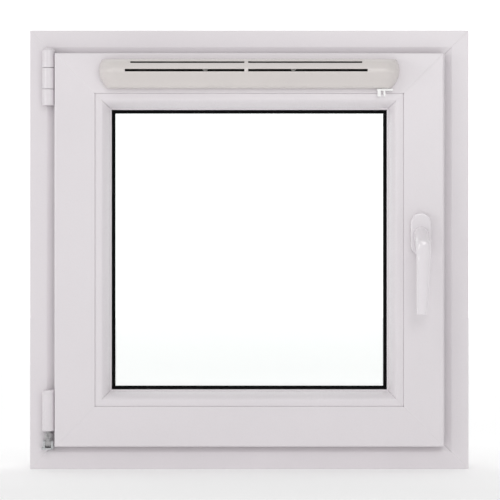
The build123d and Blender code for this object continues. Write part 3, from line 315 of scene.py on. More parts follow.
# ---- finishes ------------------------------------------------------------------------
@dataclass(frozen=True)
class Finish:
    """A moulded, coated or plated surface with slight, even variation.

    Attributes:
        name: the material's name.
        colour: linear red, green and blue.
        rough: lowest and highest roughness.
        vary: share by which the colour drifts.
        drift: size of the drift, per metre.
        grain: size of the fine surface grain, per metre.
        bump: height of the grain in metres.
        metal: 1 for metal.
        gloss: strength of the mirror-like part, 0.5 for plastic.
        coat: weight of a clear coat.
        stretch: scale of the grain along X, Y and Z, for brushed or drawn surfaces.
    """

    name: str
    colour: tuple[float, float, float]
    rough: tuple[float, float] = (0.3, 0.4)
    vary: float = 0.02
    drift: float = 18.0
    grain: float = 900.0
    bump: float = 0.00002
    metal: float = 0.0
    gloss: float = 0.5
    coat: float = 0.0
    stretch: tuple[float, float, float] = (1.0, 1.0, 1.0)

    def noise(
        self, tree: bpy.types.NodeTree, scale: float, detail: float, stretched: bool
    ) -> bpy.types.NodeSocket:
        """A noise over the object's own coordinates.

        Args:
            tree: the material's nodes.
            scale: noise scale per metre.
            detail: octaves.
            stretched: True to stretch it by the finish's stretch.

        Returns:
            The noise's factor socket.
        """
        nodes, links = tree.nodes, tree.links
        where = nodes.new("ShaderNodeTexCoord")
        place = nodes.new("ShaderNodeMapping")
        place.inputs["Scale"].default_value = self.stretch if stretched else (1, 1, 1)
        links.new(where.outputs["Object"], place.inputs["Vector"])
        noise = nodes.new("ShaderNodeTexNoise")
        noise.inputs["Scale"].default_value = scale
        noise.inputs["Detail"].default_value = detail
        links.new(place.outputs["Vector"], noise.inputs["Vector"])
        return noise.outputs["Fac"]

    def material(self) -> bpy.types.Material:
        """The material: colour drift, roughness drift and fine grain as a bump."""
        made = bpy.data.materials.get(self.name)
        if made:
            return made
        made = bpy.data.materials.new(self.name)
        made.use_nodes = True
        tree = made.node_tree
        nodes, links = tree.nodes, tree.links
        shader = nodes["Principled BSDF"]
        shader.inputs["Metallic"].default_value = self.metal
        shader.inputs["Specular IOR Level"].default_value = self.gloss
        shader.inputs["Coat Weight"].default_value = self.coat
        drift = self.noise(tree, self.drift, 3.0, False)
        ramp = nodes.new("ShaderNodeValToRGB")
        low = [c * (1 - self.vary) for c in self.colour]
        high = [min(1.0, c * (1 + self.vary)) for c in self.colour]
        ramp.color_ramp.elements[0].position = 0.3
        ramp.color_ramp.elements[1].position = 0.7
        ramp.color_ramp.elements[0].color = (*low, 1)
        ramp.color_ramp.elements[1].color = (*high, 1)
        links.new(drift, ramp.inputs["Fac"])
        links.new(ramp.outputs["Color"], shader.inputs["Base Color"])
        spread = nodes.new("ShaderNodeMapRange")
        spread.inputs["From Min"].default_value = 0.3
        spread.inputs["From Max"].default_value = 0.7
        spread.inputs["To Min"].default_value = self.rough[0]
        spread.inputs["To Max"].default_value = self.rough[1]
        fine = self.noise(tree, self.grain, 2.0, True)
        links.new(fine, spread.inputs["Value"])
        links.new(spread.outputs["Result"], shader.inputs["Roughness"])
        bump = nodes.new("ShaderNodeBump")
        bump.inputs["Strength"].default_value = 1.0
        bump.inputs["Distance"].default_value = self.bump
        links.new(fine, bump.inputs["Height"])
        links.new(bump.outputs["Normal"], shader.inputs["Normal"])
        return made


@dataclass(frozen=True)
class ClearGlass:
    """Float glass: thin, almost colourless and fully smooth, with a faint haze of dust."""

    name: str = "float_glass"
    tint: tuple[float, float, float] = (0.993, 0.998, 0.996)

    def material(self) -> bpy.types.Material:
        """The material: mostly see-through, mirror-like at grazing angles."""
        made = bpy.data.materials.get(self.name)
        if made:
            return made
        made = bpy.data.materials.new(self.name)
        made.use_nodes = True
        nodes, links = made.node_tree.nodes, made.node_tree.links
        gloss = nodes["Principled BSDF"]
        gloss.inputs["Base Color"].default_value = (0.94, 0.96, 0.95, 1)
        gloss.inputs["Metallic"].default_value = 1.0
        gloss.inputs["Roughness"].default_value = 0.03
        where = nodes.new("ShaderNodeTexCoord")
        dust = nodes.new("ShaderNodeTexNoise")
        dust.inputs["Scale"].default_value = 6.0
        dust.inputs["Detail"].default_value = 4.0
        links.new(where.outputs["Object"], dust.inputs["Vector"])
        haze = nodes.new("ShaderNodeMapRange")
        haze.inputs["To Min"].default_value = 0.025
        haze.inputs["To Max"].default_value = 0.035
        links.new(dust.outputs["Fac"], haze.inputs["Value"])
        facing = nodes.new("ShaderNodeLayerWeight")
        facing.inputs["Blend"].default_value = 0.5
        rim = nodes.new("ShaderNodeMath")
        rim.operation = "POWER"
        rim.inputs[1].default_value = 5.0
        links.new(facing.outputs["Facing"], rim.inputs[0])
        weight = nodes.new("ShaderNodeMath")
        weight.operation = "MULTIPLY_ADD"
        weight.inputs[1].default_value = 0.9
        links.new(rim.outputs["Value"], weight.inputs[0])
        links.new(haze.outputs["Result"], weight.inputs[2])
        clear = nodes.new("ShaderNodeBsdfTransparent")
        clear.inputs["Color"].default_value = (*self.tint, 1)
        mix = nodes.new("ShaderNodeMixShader")
        links.new(weight.outputs["Value"], mix.inputs["Fac"])
        links.new(clear.outputs["BSDF"], mix.inputs[1])
        links.new(gloss.outputs["BSDF"], mix.inputs[2])
        links.new(mix.outputs["Shader"], nodes["Material Output"].inputs["Surface"])
        return made


UPVC = Finish("upvc", (0.77, 0.732, 0.757), (0.26, 0.36), 0.012, 9.0, 1500.0, 0.000006)
BEAD = Finish("upvc_bead", (0.77, 0.732, 0.757), (0.24, 0.33), 0.012, 9.0, 1500.0, 0.000005)
VENT = Finish("vent_cream", (0.71, 0.668, 0.65), (0.2, 0.3), 0.015, 12.0, 1200.0, 0.000012)
HINGE = Finish("hinge_plastic", (0.75, 0.712, 0.738), (0.22, 0.32), 0.015, 40.0, 1600.0, 0.00001)
LACQUER = Finish(
    "handle_lacquer", (0.80, 0.762, 0.79), (0.1, 0.16), 0.01, 30.0, 1800.0, 0.000003, coat=1.0
)
TAB = Finish("tab_plastic", (0.95, 0.95, 0.945), (0.24, 0.32), 0.01, 60.0, 1500.0, 0.000006)
RUBBER = Finish(
    "gasket_rubber", (0.006, 0.006, 0.0065), (0.6, 0.78), 0.25, 60.0, 2200.0, 0.00003, gloss=0.02
)
# Painted shade: the vent's base plate and flap are made near-black so that the slots show as
# deep shade.
PAINTED_SHADE = Finish(
    "vent_inner_painted_shade", (0.02, 0.019, 0.018), (0.6, 0.8), 0.1, 60.0, 900.0, 0.00002, gloss=0.1
)
ZINC = Finish("zinc_plate", (0.62, 0.62, 0.60), (0.24, 0.42), 0.06, 70.0, 1500.0, 0.00001, 1.0)
BOX_STEEL = Finish("box_steel", (0.52, 0.54, 0.55), (0.35, 0.5), 0.08, 50.0, 900.0, 0.00001, 1.0)
GREY_CAST = Finish("bearing_grey", (0.50, 0.49, 0.50), (0.35, 0.5), 0.05, 90.0, 1800.0, 0.00002)
PIN = Finish("pin_grey", (0.40, 0.395, 0.40), (0.28, 0.4), 0.06, 90.0, 1500.0, 0.00001)
SPACER = Finish("spacer_bar", (0.6, 0.6, 0.6), (0.3, 0.42), 0.04, 60.0, 1300.0, 0.00001, 1.0)
SEALANT = Finish("edge_sealant", (0.02, 0.02, 0.02), (0.55, 0.75), 0.2, 80.0, 900.0, 0.00004)
PACKER = Finish("packer_blue", (0.03, 0.12, 0.33), (0.4, 0.55), 0.05, 80.0, 1300.0, 0.00002)
# Partly real, partly painted shade: the insect gauze behind the vent slots is made dark so that
# the slots read as deep shade.
GAUZE_AND_SHADE = Finish("gauze_and_painted_shade", (0.06, 0.06, 0.06), (0.5, 0.65), 0.1, 90.0, 1500.0, 0.00002)

SLOT_FINISH = {
    "upvc_white": UPVC,
    "vent_plastic": VENT,
    "hinge_white": HINGE,
    "handle_white": LACQUER,
    "zinc_steel": ZINC,
    "box_steel": BOX_STEEL,
    "gasket_black": RUBBER,
    "glass": ClearGlass(),
    "bearing_grey": GREY_CAST,
    "pin_steel": PIN,
    "spacer": SPACER,
    "edge_sealant": SEALANT,
    "block_plastic": PACKER,
    "mesh_dark": GAUZE_AND_SHADE,
    "tab_white": TAB,
}


@dataclass
class SubAssembly:
    """What every sub-assembly does: make pieces, ride them on a body and dress them."""

    body: str = "frame"

    def put(
        self,
        piece: bpy.types.Object,
        finish: Finish | ClearGlass,
        slot: str,
        *nodes: str,
        body: str | None = None,
    ) -> bpy.types.Object:
        """Dresses a piece, ties it to its body and hides the CAD nodes it stands for.

        Args:
            piece: the new object.
            finish: its finish.
            slot: the record's material slot; not used.
            nodes: the CAD nodes it replaces.
            body: the body it rides on, if not the sub-assembly's own.

        Returns:
            The same object.
        """
        piece.data.materials.clear()
        piece.data.materials.append(finish.material())
        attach(piece, body or self.body)
        if nodes:
            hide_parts(*nodes)
        log.info("%s: %d faces", piece.name, len(piece.data.polygons))
        return piece


def holed(piece: bpy.types.Object, cutter: bpy.types.Object) -> None:
    """Cuts one piece by another, keeps the cut mesh, and removes the cutter.

    Args:
        piece: the object to cut, left at the origin.
        cutter: a closed object.
    """
    cut = piece.modifiers.new("cut", "BOOLEAN")
    cut.operation = "DIFFERENCE"
    cut.solver = "EXACT"
    cut.object = cutter
    graph = bpy.context.evaluated_depsgraph_get()
    mesh = bpy.data.meshes.new_from_object(piece.evaluated_get(graph), depsgraph=graph)
    piece.modifiers.remove(cut)
    piece.data = mesh
    bpy.data.objects.remove(cutter)
    mesh.set_sharp_from_angle(angle=math.radians(38.0))


# ---- outer frame ---------------------------------------------------------------------
@dataclass
class OuterFrame(SubAssembly):
    """The four welded bars of the outer frame, with a sloped step beside the sash."""

    body: str = "frame"
    flat: float = 23.0
    sash_in: float = 32.0
    seat_in: float = 40.0
    leg_in: float = 60.0
    leg: float = 15.0
    drop: float = 4.0
    bolt_r: float = 4.0
    seam: tuple[float, float] = (0.28, 1.0)
    nodes: dict[Side, str] = field(
        default_factory=lambda: {
            Side.HEAD: "frame_head",
            Side.SILL: "frame_sill",
            Side.LEFT: "frame_jamb_left",
            Side.RIGHT: "frame_jamb_right",
        }
    )

    def outline(self, room: float, out: float) -> np.ndarray:
        """The bar's section: flat, slope, seat, rebate and outer leg, with rounded corners.

        Args:
            room: y of the room face.
            out: y of the outer face.

        Returns:
            (n, 2) points of y and distance inward.
        """
        seat, rebate = room + self.drop, out - self.leg
        rows = np.array(
            [
                (room, 0.0, 0.7),
                (room, self.flat, 5.0),
                (seat, self.sash_in, 0.8),
                (seat, self.seat_in, 0.8),
                (rebate, self.seat_in, 0.4),
                (rebate, self.leg_in, 0.8),
                (out, self.leg_in, 1.2),
                (out, 0.0, 0.7),
            ]
        )
        return rounded(rows[:, :2], rows[:, 2])

    def build(self) -> None:
        """Makes the four bars and bores the fixing holes through the jambs."""
        left, right = corner_box(self.nodes[Side.LEFT]), corner_box(self.nodes[Side.RIGHT])
        width, height = right[1, 0] - left[0, 0], left[1, 2] - left[0, 2]
        middle = ((right[1, 0] + left[0, 0]) / 2, (left[1, 2] + left[0, 2]) / 2)
        outline = self.outline(left[0, 1], left[1, 1])
        for side, node in self.nodes.items():
            skin = mitred_bar(outline, side, (width, height), middle, self.seam)
            piece = make_piece(node + "_bar", [skin])
            if side.upright:
                holed(piece, self.bores(width))
            self.put(piece, UPVC, "upvc_white", node)

    def bores(self, width: float) -> bpy.types.Object:
        """Round cutters for the fixing holes, placed by the record's bolt pattern.

        Args:
            width: the frame's width.

        Returns:
            A mesh object that holds both cutters.
        """
        mount = next(m for m in frame["record"]["mounts"] if m["name"] == "jamb_fixings_left")
        y, z = mount["pos_m"][1] / MM, mount["pos_m"][2] / MM
        pitch = mount["dims"]["spacing_y_mm"]
        angle = np.linspace(0, 2 * math.pi, 32, endpoint=False)
        x = np.array([-width, width])[:, None] + 0 * angle
        skins = []
        for k in (-0.5, 0.5):
            yy = y + self.bolt_r * np.cos(angle) + 0 * x
            zz = z + k * pitch + self.bolt_r * np.sin(angle) + 0 * x
            skins.append(loft(np.stack([x, yy, zz], -1)))
        return make_piece("bore_cutter", skins)


# ---- sash ----------------------------------------------------------------------------
@dataclass
class Sash(SubAssembly):
    """The four welded bars of the sash."""

    body: str = "sash"
    overlap: float = 20.0
    lip: float = 19.0
    groove_y: float = -21.0
    groove: tuple[float, float] = (16.4, 2.7)
    groove_in: tuple[float, float] = (12.0, 11.5)
    glaze_in: float = 55.0
    day_in: float = 77.0
    leg: float = 14.0
    seam: tuple[float, float] = (0.22, 1.0)
    duct_gap: float = 16.4
    duct_play: float = 0.15
    duct_over: float = 5.0

    def outline(self, room: float, out: float) -> np.ndarray:
        """The bar's section: lip, hardware groove, outer leg and glazing rebate.

        Args:
            room: y of the room face.
            out: y of the outer face.

        Returns:
            (n, 2) points of y and distance inward.
        """
        lip, leg = room + self.lip, out - self.leg
        near, far = self.groove_y - self.groove[0] / 2, self.groove_y + self.groove[0] / 2
        slim, wide = self.groove_y - self.groove_in[0] / 2, self.groove_y + self.groove_in[0] / 2
        deep, deeper = self.overlap + self.groove[1], self.overlap + self.groove_in[1]
        rows = np.array(
            [
                (room, 0.0, 2.5),
                (lip, 0.0, 0.8),
                (lip, self.overlap, 0.4),
                (near, self.overlap, 0.4),
                (near, deep, 0.1),
                (slim, deep, 0.3),
                (slim, deeper, 0.5),
                (wide, deeper, 0.5),
                (wide, deep, 0.3),
                (far, deep, 0.1),
                (far, self.overlap, 0.4),
                (out, self.overlap, 1.6),
                (out, self.day_in, 2.0),
                (leg, self.day_in, 0.6),
                (leg, self.glaze_in, 0.4),
                (room, self.glaze_in, 0.3),
            ]
        )
        return rounded(rows[:, :2], rows[:, 2])

    def build(self) -> None:
        """Makes the four bars and cuts the air passages through the top one."""
        names = {
            Side.HEAD: "sash_top",
            Side.SILL: "sash_bottom",
            Side.LEFT: "sash_left",
            Side.RIGHT: "sash_right",
        }
        top, low = corner_box("sash_top"), corner_box("sash_bottom")
        size = (top[1, 0] - top[0, 0], top[1, 2] - low[0, 2])
        middle = ((top[1, 0] + top[0, 0]) / 2, (top[1, 2] + low[0, 2]) / 2)
        outline = self.outline(top[0, 1], top[1, 1])
        for side, node in names.items():
            skin = mitred_bar(outline, side, size, middle, self.seam)
            piece = make_piece(node + "_bar", [skin])
            if side is Side.HEAD:
                holed(piece, self.passages())
            self.put(piece, UPVC, "upvc_white", node)

    def passages(self) -> bpy.types.Object:
        """Cutters as large as the duct sleeves, run past both faces of the rail."""
        low, high = corner_box("vent_ducts")
        play, over = self.duct_play, self.duct_over
        skins = []
        for x0, x1 in ((low[0], -self.duct_gap / 2), (self.duct_gap / 2, high[0])):
            x = np.array([x0 - play, x1 + play, x1 + play, x0 - play])
            z = np.array([low[2] - play, low[2] - play, high[2] + play, high[2] + play])
            y = np.array([low[1] - over, high[1] + over])[:, None]
            skins.append(loft(np.stack([x + 0 * y, y + 0 * x, z + 0 * y], -1)))
        return make_piece("passage_cutter", skins)


@dataclass
class Glazing(SubAssembly):
    """Glazing beads and the black gasket between them and the glass."""

    body: str = "sash"
    joint: float = 55.1
    width: float = 21.5
    flat: float = 8.6
    face_back: float = 0.9
    knee: float = 16.5
    lip: float = 2.0
    sight: float = 4.5
    cut: tuple[float, float] = (0.1, 0.35)
    mitre_gap: float = 0.06

    def bead_outline(self, room: float, back: float) -> np.ndarray:
        """The bead's section: a flat, then a curve that steepens, then a thin upturned lip.

        The curve's depth is the knee times 1 - (1 - s^1.6)^0.85, with s the share of the way
        across, which keeps it shallow beside the flat and steep beside the glass.

        Args:
            room: y of the sash's room face.
            back: y of the bead's back.

        Returns:
            (n, 2) points of y and distance inward.
        """
        face = room + self.face_back
        edge = self.joint + self.width
        start = self.joint + self.flat
        s = np.linspace(0, 1, 19)
        curve_in = start + (edge - self.lip - start) * s
        curve_y = face + self.knee * (1 - (1 - s**1.6) ** 0.85)
        lip_s = np.linspace(0, 1, 6)[1:]
        lip_in = edge - self.lip + self.lip * np.sin(lip_s * math.pi / 2)
        lip_y = face + self.knee - 0.3 + 1.6 * (1 - np.cos(lip_s * math.pi / 2))
        rows = [(back, self.joint), (face + 0.7, self.joint), (face + 0.3, self.joint + 0.1)]
        rows += [(face + 0.1, self.joint + 0.3), (face, self.joint + 0.6), (face, start - 0.5)]
        rows += list(zip(curve_y, curve_in)) + list(zip(lip_y, lip_in))
        rows += [(face + self.knee + 2.2, edge), (back, edge)]
        return np.array(rows)

    def gasket_outline(self, bead_back: float, glass: float) -> np.ndarray:
        """The gasket's section: a foot under the bead and a rounded lip on the glass.

        Args:
            bead_back: y of the bead's back.
            glass: y of the glass.

        Returns:
            (n, 2) points of y and distance inward.
        """
        edge = self.joint + self.width
        rows = np.array(
            [
                (bead_back, edge - 8.0, 0.2),
                (bead_back, edge + 0.4, 0.2),
                (bead_back - 0.6, edge + 1.2, 0.5),
                (glass - 0.9, edge + self.sight, 0.4),
                (glass, edge + self.sight + 0.3, 0.1),
                (glass, edge - 8.0, 0.2),
            ]
        )
        return rounded(rows[:, :2], rows[:, 2], 3)

    def build(self) -> None:
        """Makes four cut beads with fine mitre gaps, and the gasket as one mitred ring."""
        top, low = corner_box("sash_top"), corner_box("sash_bottom")
        size = (top[1, 0] - top[0, 0], top[1, 2] - low[0, 2])
        middle = ((top[1, 0] + top[0, 0]) / 2, (top[1, 2] + low[0, 2]) / 2)
        beads = {
            Side.HEAD: "bead_top",
            Side.SILL: "bead_bottom",
            Side.LEFT: "bead_left",
            Side.RIGHT: "bead_right",
        }
        back = corner_box("bead_top")[1, 1]
        outline = self.bead_outline(top[0, 1], back)
        for side, node in beads.items():
            skin = mitred_bar(outline, side, size, middle, self.cut, self.mitre_gap)
            self.put(make_piece(node + "_strip", [skin]), BEAD, "upvc_white", node)
        glass = corner_box("bead_gasket")[1, 1]
        outline = self.gasket_outline(back, glass)
        skins = [mitred_bar(outline, side, size, middle) for side in Side]
        piece = make_piece("bead_gasket_ring", skins, 50.0)
        self.put(piece, RUBBER, "gasket_black", "bead_gasket")


# ---- handle --------------------------------------------------------------------------
@dataclass
class Handle(SubAssembly):
    """The cranked lever and the oval rosette cover it turns in."""

    body: str = "handle"
    neck_r: float = 10.2
    neck_play: float = 0.1
    rim: float = 2.4
    wall: float = 2.0

    def lever_rings(self) -> np.ndarray:
        """Rings of the lever from its collar to its end.

        Two curves in the y-z plane, one over the lever and one under it, give each ring's
        middle and depth. The ring is a superellipse |a|^p + |b|^p = 1 whose power grows from
        a circle at the collar to a rounded oblong along the grip.

        Returns:
            (m, n, 3) rings.
        """
        low, high = corner_box("handle_lever")
        x_mid = (low[0] + high[0]) / 2
        z_axis = high[2] - (high[0] - low[0]) / 2
        r = self.neck_r
        foot, front, end = high[1], low[1] + 0.25, low[2] + 0.1
        keys = np.array([0, 0.06, 0.14, 0.22, 0.30, 0.38, 0.44, 0.54, 0.74, 0.92, 1.0])
        over = np.array(
            [
                (foot, z_axis + r),
                (foot - 5.0, z_axis + r),
                (foot - 12.0, z_axis + 6.9),
                (foot - 22.0, z_axis + 2.0),
                (foot - 32.0, z_axis - 3.4),
                (front + 2.2, z_axis - 7.6),
                (front + 0.3, z_axis - 11.5),
                (front, z_axis - 27.0),
                (front, z_axis - 62.0),
                (front + 0.3, end + 9.0),
                (front + 0.6, end + 0.5),
            ]
        )
        under = np.array(
            [
                (foot, z_axis - r),
                (foot - 5.0, z_axis - r),
                (foot - 10.0, z_axis - 11.6),
                (foot - 15.5, z_axis - 15.0),
                (foot - 20.0, z_axis - 20.0),
                (foot - 23.5, z_axis - 26.0),
                (front + 14.2, z_axis - 31.0),
                (front + 12.6, z_axis - 41.0),
                (front + 11.4, z_axis - 66.0),
                (front + 10.6, end + 9.0),
                (front + 10.2, end + 0.5),
            ]
        )
        half_w = np.array([r, r, r, 10.1, 10.1, 10.1, 9.9, 9.5, 8.5, 7.5, 7.2])
        lean = np.array([0, 0, 0, 0.1, 0.4, 0.8, 1.0, 0.9, -0.1, -1.4, -1.8])
        power = np.array([2.0, 2.0, 2.0, 2.1, 2.2, 2.3, 2.4, 2.4, 2.4, 2.5, 2.7])
        t = np.linspace(0, 1, 61)
        o, u = smooth_steps(t, keys, over), smooth_steps(t, keys, under)
        w = smooth_steps(t, keys, half_w)
        dx = smooth_steps(t, keys, lean)
        p = smooth_steps(t, keys, power)
        angle = np.linspace(0, 2 * math.pi, 56, endpoint=False)[None]
        a = np.sign(np.cos(angle)) * np.abs(np.cos(angle)) ** (2 / p)
        b = np.sign(np.sin(angle)) * np.abs(np.sin(angle)) ** (2 / p)
        mid, reach = (o + u) / 2, (o - u) / 2
        x = x_mid + dx + w * a
        y = mid[:, :1] + reach[:, :1] * b
        z = mid[:, 1:] + reach[:, 1:] * b
        rings = np.stack([x, y, z], -1)
        s = np.array([0.0, 0.35, 0.62, 0.82, 0.95])
        last = rings[-1]
        centre = last.mean(0)
        shrink = np.sqrt(1 - s**2)[1:, None, None]
        cap = centre + (last - centre) * (0.72 + 0.28 * shrink)
        cap[..., 2] -= (0.5 * s[1:] / s[-1])[:, None]
        return np.concatenate([rings, cap])

    def rosette(self) -> tuple[np.ndarray, list[list[int]]]:
        """The rosette cover: a racetrack shell with a rounded rim and a round neck hole.

        Points round the racetrack are those of a circle moved up or down by the straight
        part's half length. Rings climb the outside, round the rim by a quarter circle, cross
        the face towards the hole and go back down inside.

        Returns:
            Points and faces.
        """
        low, high = corner_box("rosette_cover")
        x_mid, z_mid = (low[0] + high[0]) / 2, (low[2] + high[2]) / 2
        r = (high[0] - low[0]) / 2
        straight = (high[2] - low[2]) / 2 - r
        steps = 96
        angle = np.linspace(0, 2 * math.pi, steps, endpoint=False) + math.pi / steps
        side = np.sign(np.sin(angle))
        hole = self.neck_r + self.neck_play
        q = np.linspace(0, math.pi / 2, 7)
        start = r - self.rim - 0.4
        lip = np.linspace(0, 1, 5)[1:]
        turned = r - self.rim * (1 - np.cos(q))
        radius = np.concatenate([[r, r], turned, np.full(1 + len(lip), start)])
        climb = low[1] + self.rim * (1 - np.sin(q))
        foot = [high[1], low[1] + self.rim + 0.3]
        depth = np.concatenate([foot, climb, np.full(1 + len(lip), low[1])])
        blend = np.concatenate([np.zeros(len(radius) - len(lip)), lip])
        x_track = radius[:, None] * np.cos(angle)
        z_track = radius[:, None] * np.sin(angle) + side * straight
        toward = np.arctan2(z_track, x_track)
        x_hole, z_hole = hole * np.cos(toward), hole * np.sin(toward)
        k = blend[:, None]
        x = x_track * (1 - k) + x_hole * k
        z = z_track * (1 - k) + z_hole * k
        y = depth[:, None] + 0 * x
        face = np.stack([x_mid + x, y, z_mid + z], -1)
        hole_in = face[-1:].copy()
        hole_in[..., 1] = low[1] + self.wall
        track_in = face[:1].copy()
        inner = (r - self.wall) / r
        shift = side * straight
        track_in[..., 0] = x_mid + (track_in[..., 0] - x_mid) * inner
        track_in[..., 2] = z_mid + shift + (track_in[..., 2] - z_mid - shift) * inner
        roof_in = track_in.copy()
        roof_in[..., 1] = low[1] + self.wall
        return loft(np.concatenate([face, hole_in, roof_in, track_in]), ring=True)

    def build(self) -> None:
        """Makes the lever and the rosette cover."""
        lever = make_piece("lever", [loft(self.lever_rings())], 50.0)
        self.put(lever, LACQUER, "handle_white", "handle_lever")
        cover = make_piece("rosette", [self.rosette()], 40.0)
        self.put(cover, LACQUER, "handle_white", "rosette_cover", body="sash")


# ---- hinges --------------------------------------------------------------------------
@dataclass
class Hinges(SubAssembly):
    """Turned caps and covers of the two hinges."""

    body: str = "frame"
    cap: float = 3.0
    tip_r: float = 0.8
    pin_r: float = 3.5
    cover_rim: float = 1.4
    slant: float = 1.6

    def build(self) -> None:
        """Makes the top pin with its domed cap, and the cover of the bottom hinge."""
        low, high = corner_box("stay_pin")
        axis = ((low[0] + high[0]) / 2, (low[1] + high[1]) / 2)
        r, pin_r, tip = (high[0] - low[0]) / 2, self.pin_r, self.tip_r
        q = np.linspace(0, math.pi / 2, 9)
        cap = high[2] - self.cap
        dome = np.stack([tip + (r - tip) * np.cos(q), cap + self.cap * np.sin(q)], 1)
        shank = np.array(
            [[pin_r - 0.6, low[2]], [pin_r, low[2] + 0.6], [pin_r, cap], [r - 0.5, cap]]
        )
        rim = np.array([[r, cap + 0.2]])
        profile = np.concatenate([shank, rim, dome[1:]])
        pin = make_piece("stay_pin_cap", [loft(lathe(profile, axis))], 40.0)
        self.put(pin, HINGE, "hinge_white", "stay_pin")
        self.put(self.cover(), HINGE, "hinge_white", "corner_band_cover", body="sash")

    def cover(self) -> bpy.types.Object:
        """The bottom cover: a tall cap, round in plan and cut flat beside the sash.

        Each ring is a circle whose x is held at the flat, so that the sash edge has room. The
        top is slanted: its height falls with x towards the frame.

        Returns:
            The new object.
        """
        low, high = corner_box("corner_band_cover")
        pin = corner_box("corner_pin")
        axis_y = (pin[0, 1] + pin[1, 1]) / 2
        r = (high[1] - low[1]) / 2
        axis = (low[0] + r, axis_y)
        profile = round_rim(r, low[2], high[2], self.cover_rim)
        rings = lathe(profile, axis, 64)
        rings[..., 0] = np.minimum(rings[..., 0], high[0])
        share = (rings[..., 2] - low[2]) / (high[2] - low[2])
        rings[..., 2] -= share**6 * self.slant * (high[0] - rings[..., 0]) / (high[0] - low[0])
        return make_piece("bottom_hinge_cover", [loft(rings)], 45.0)


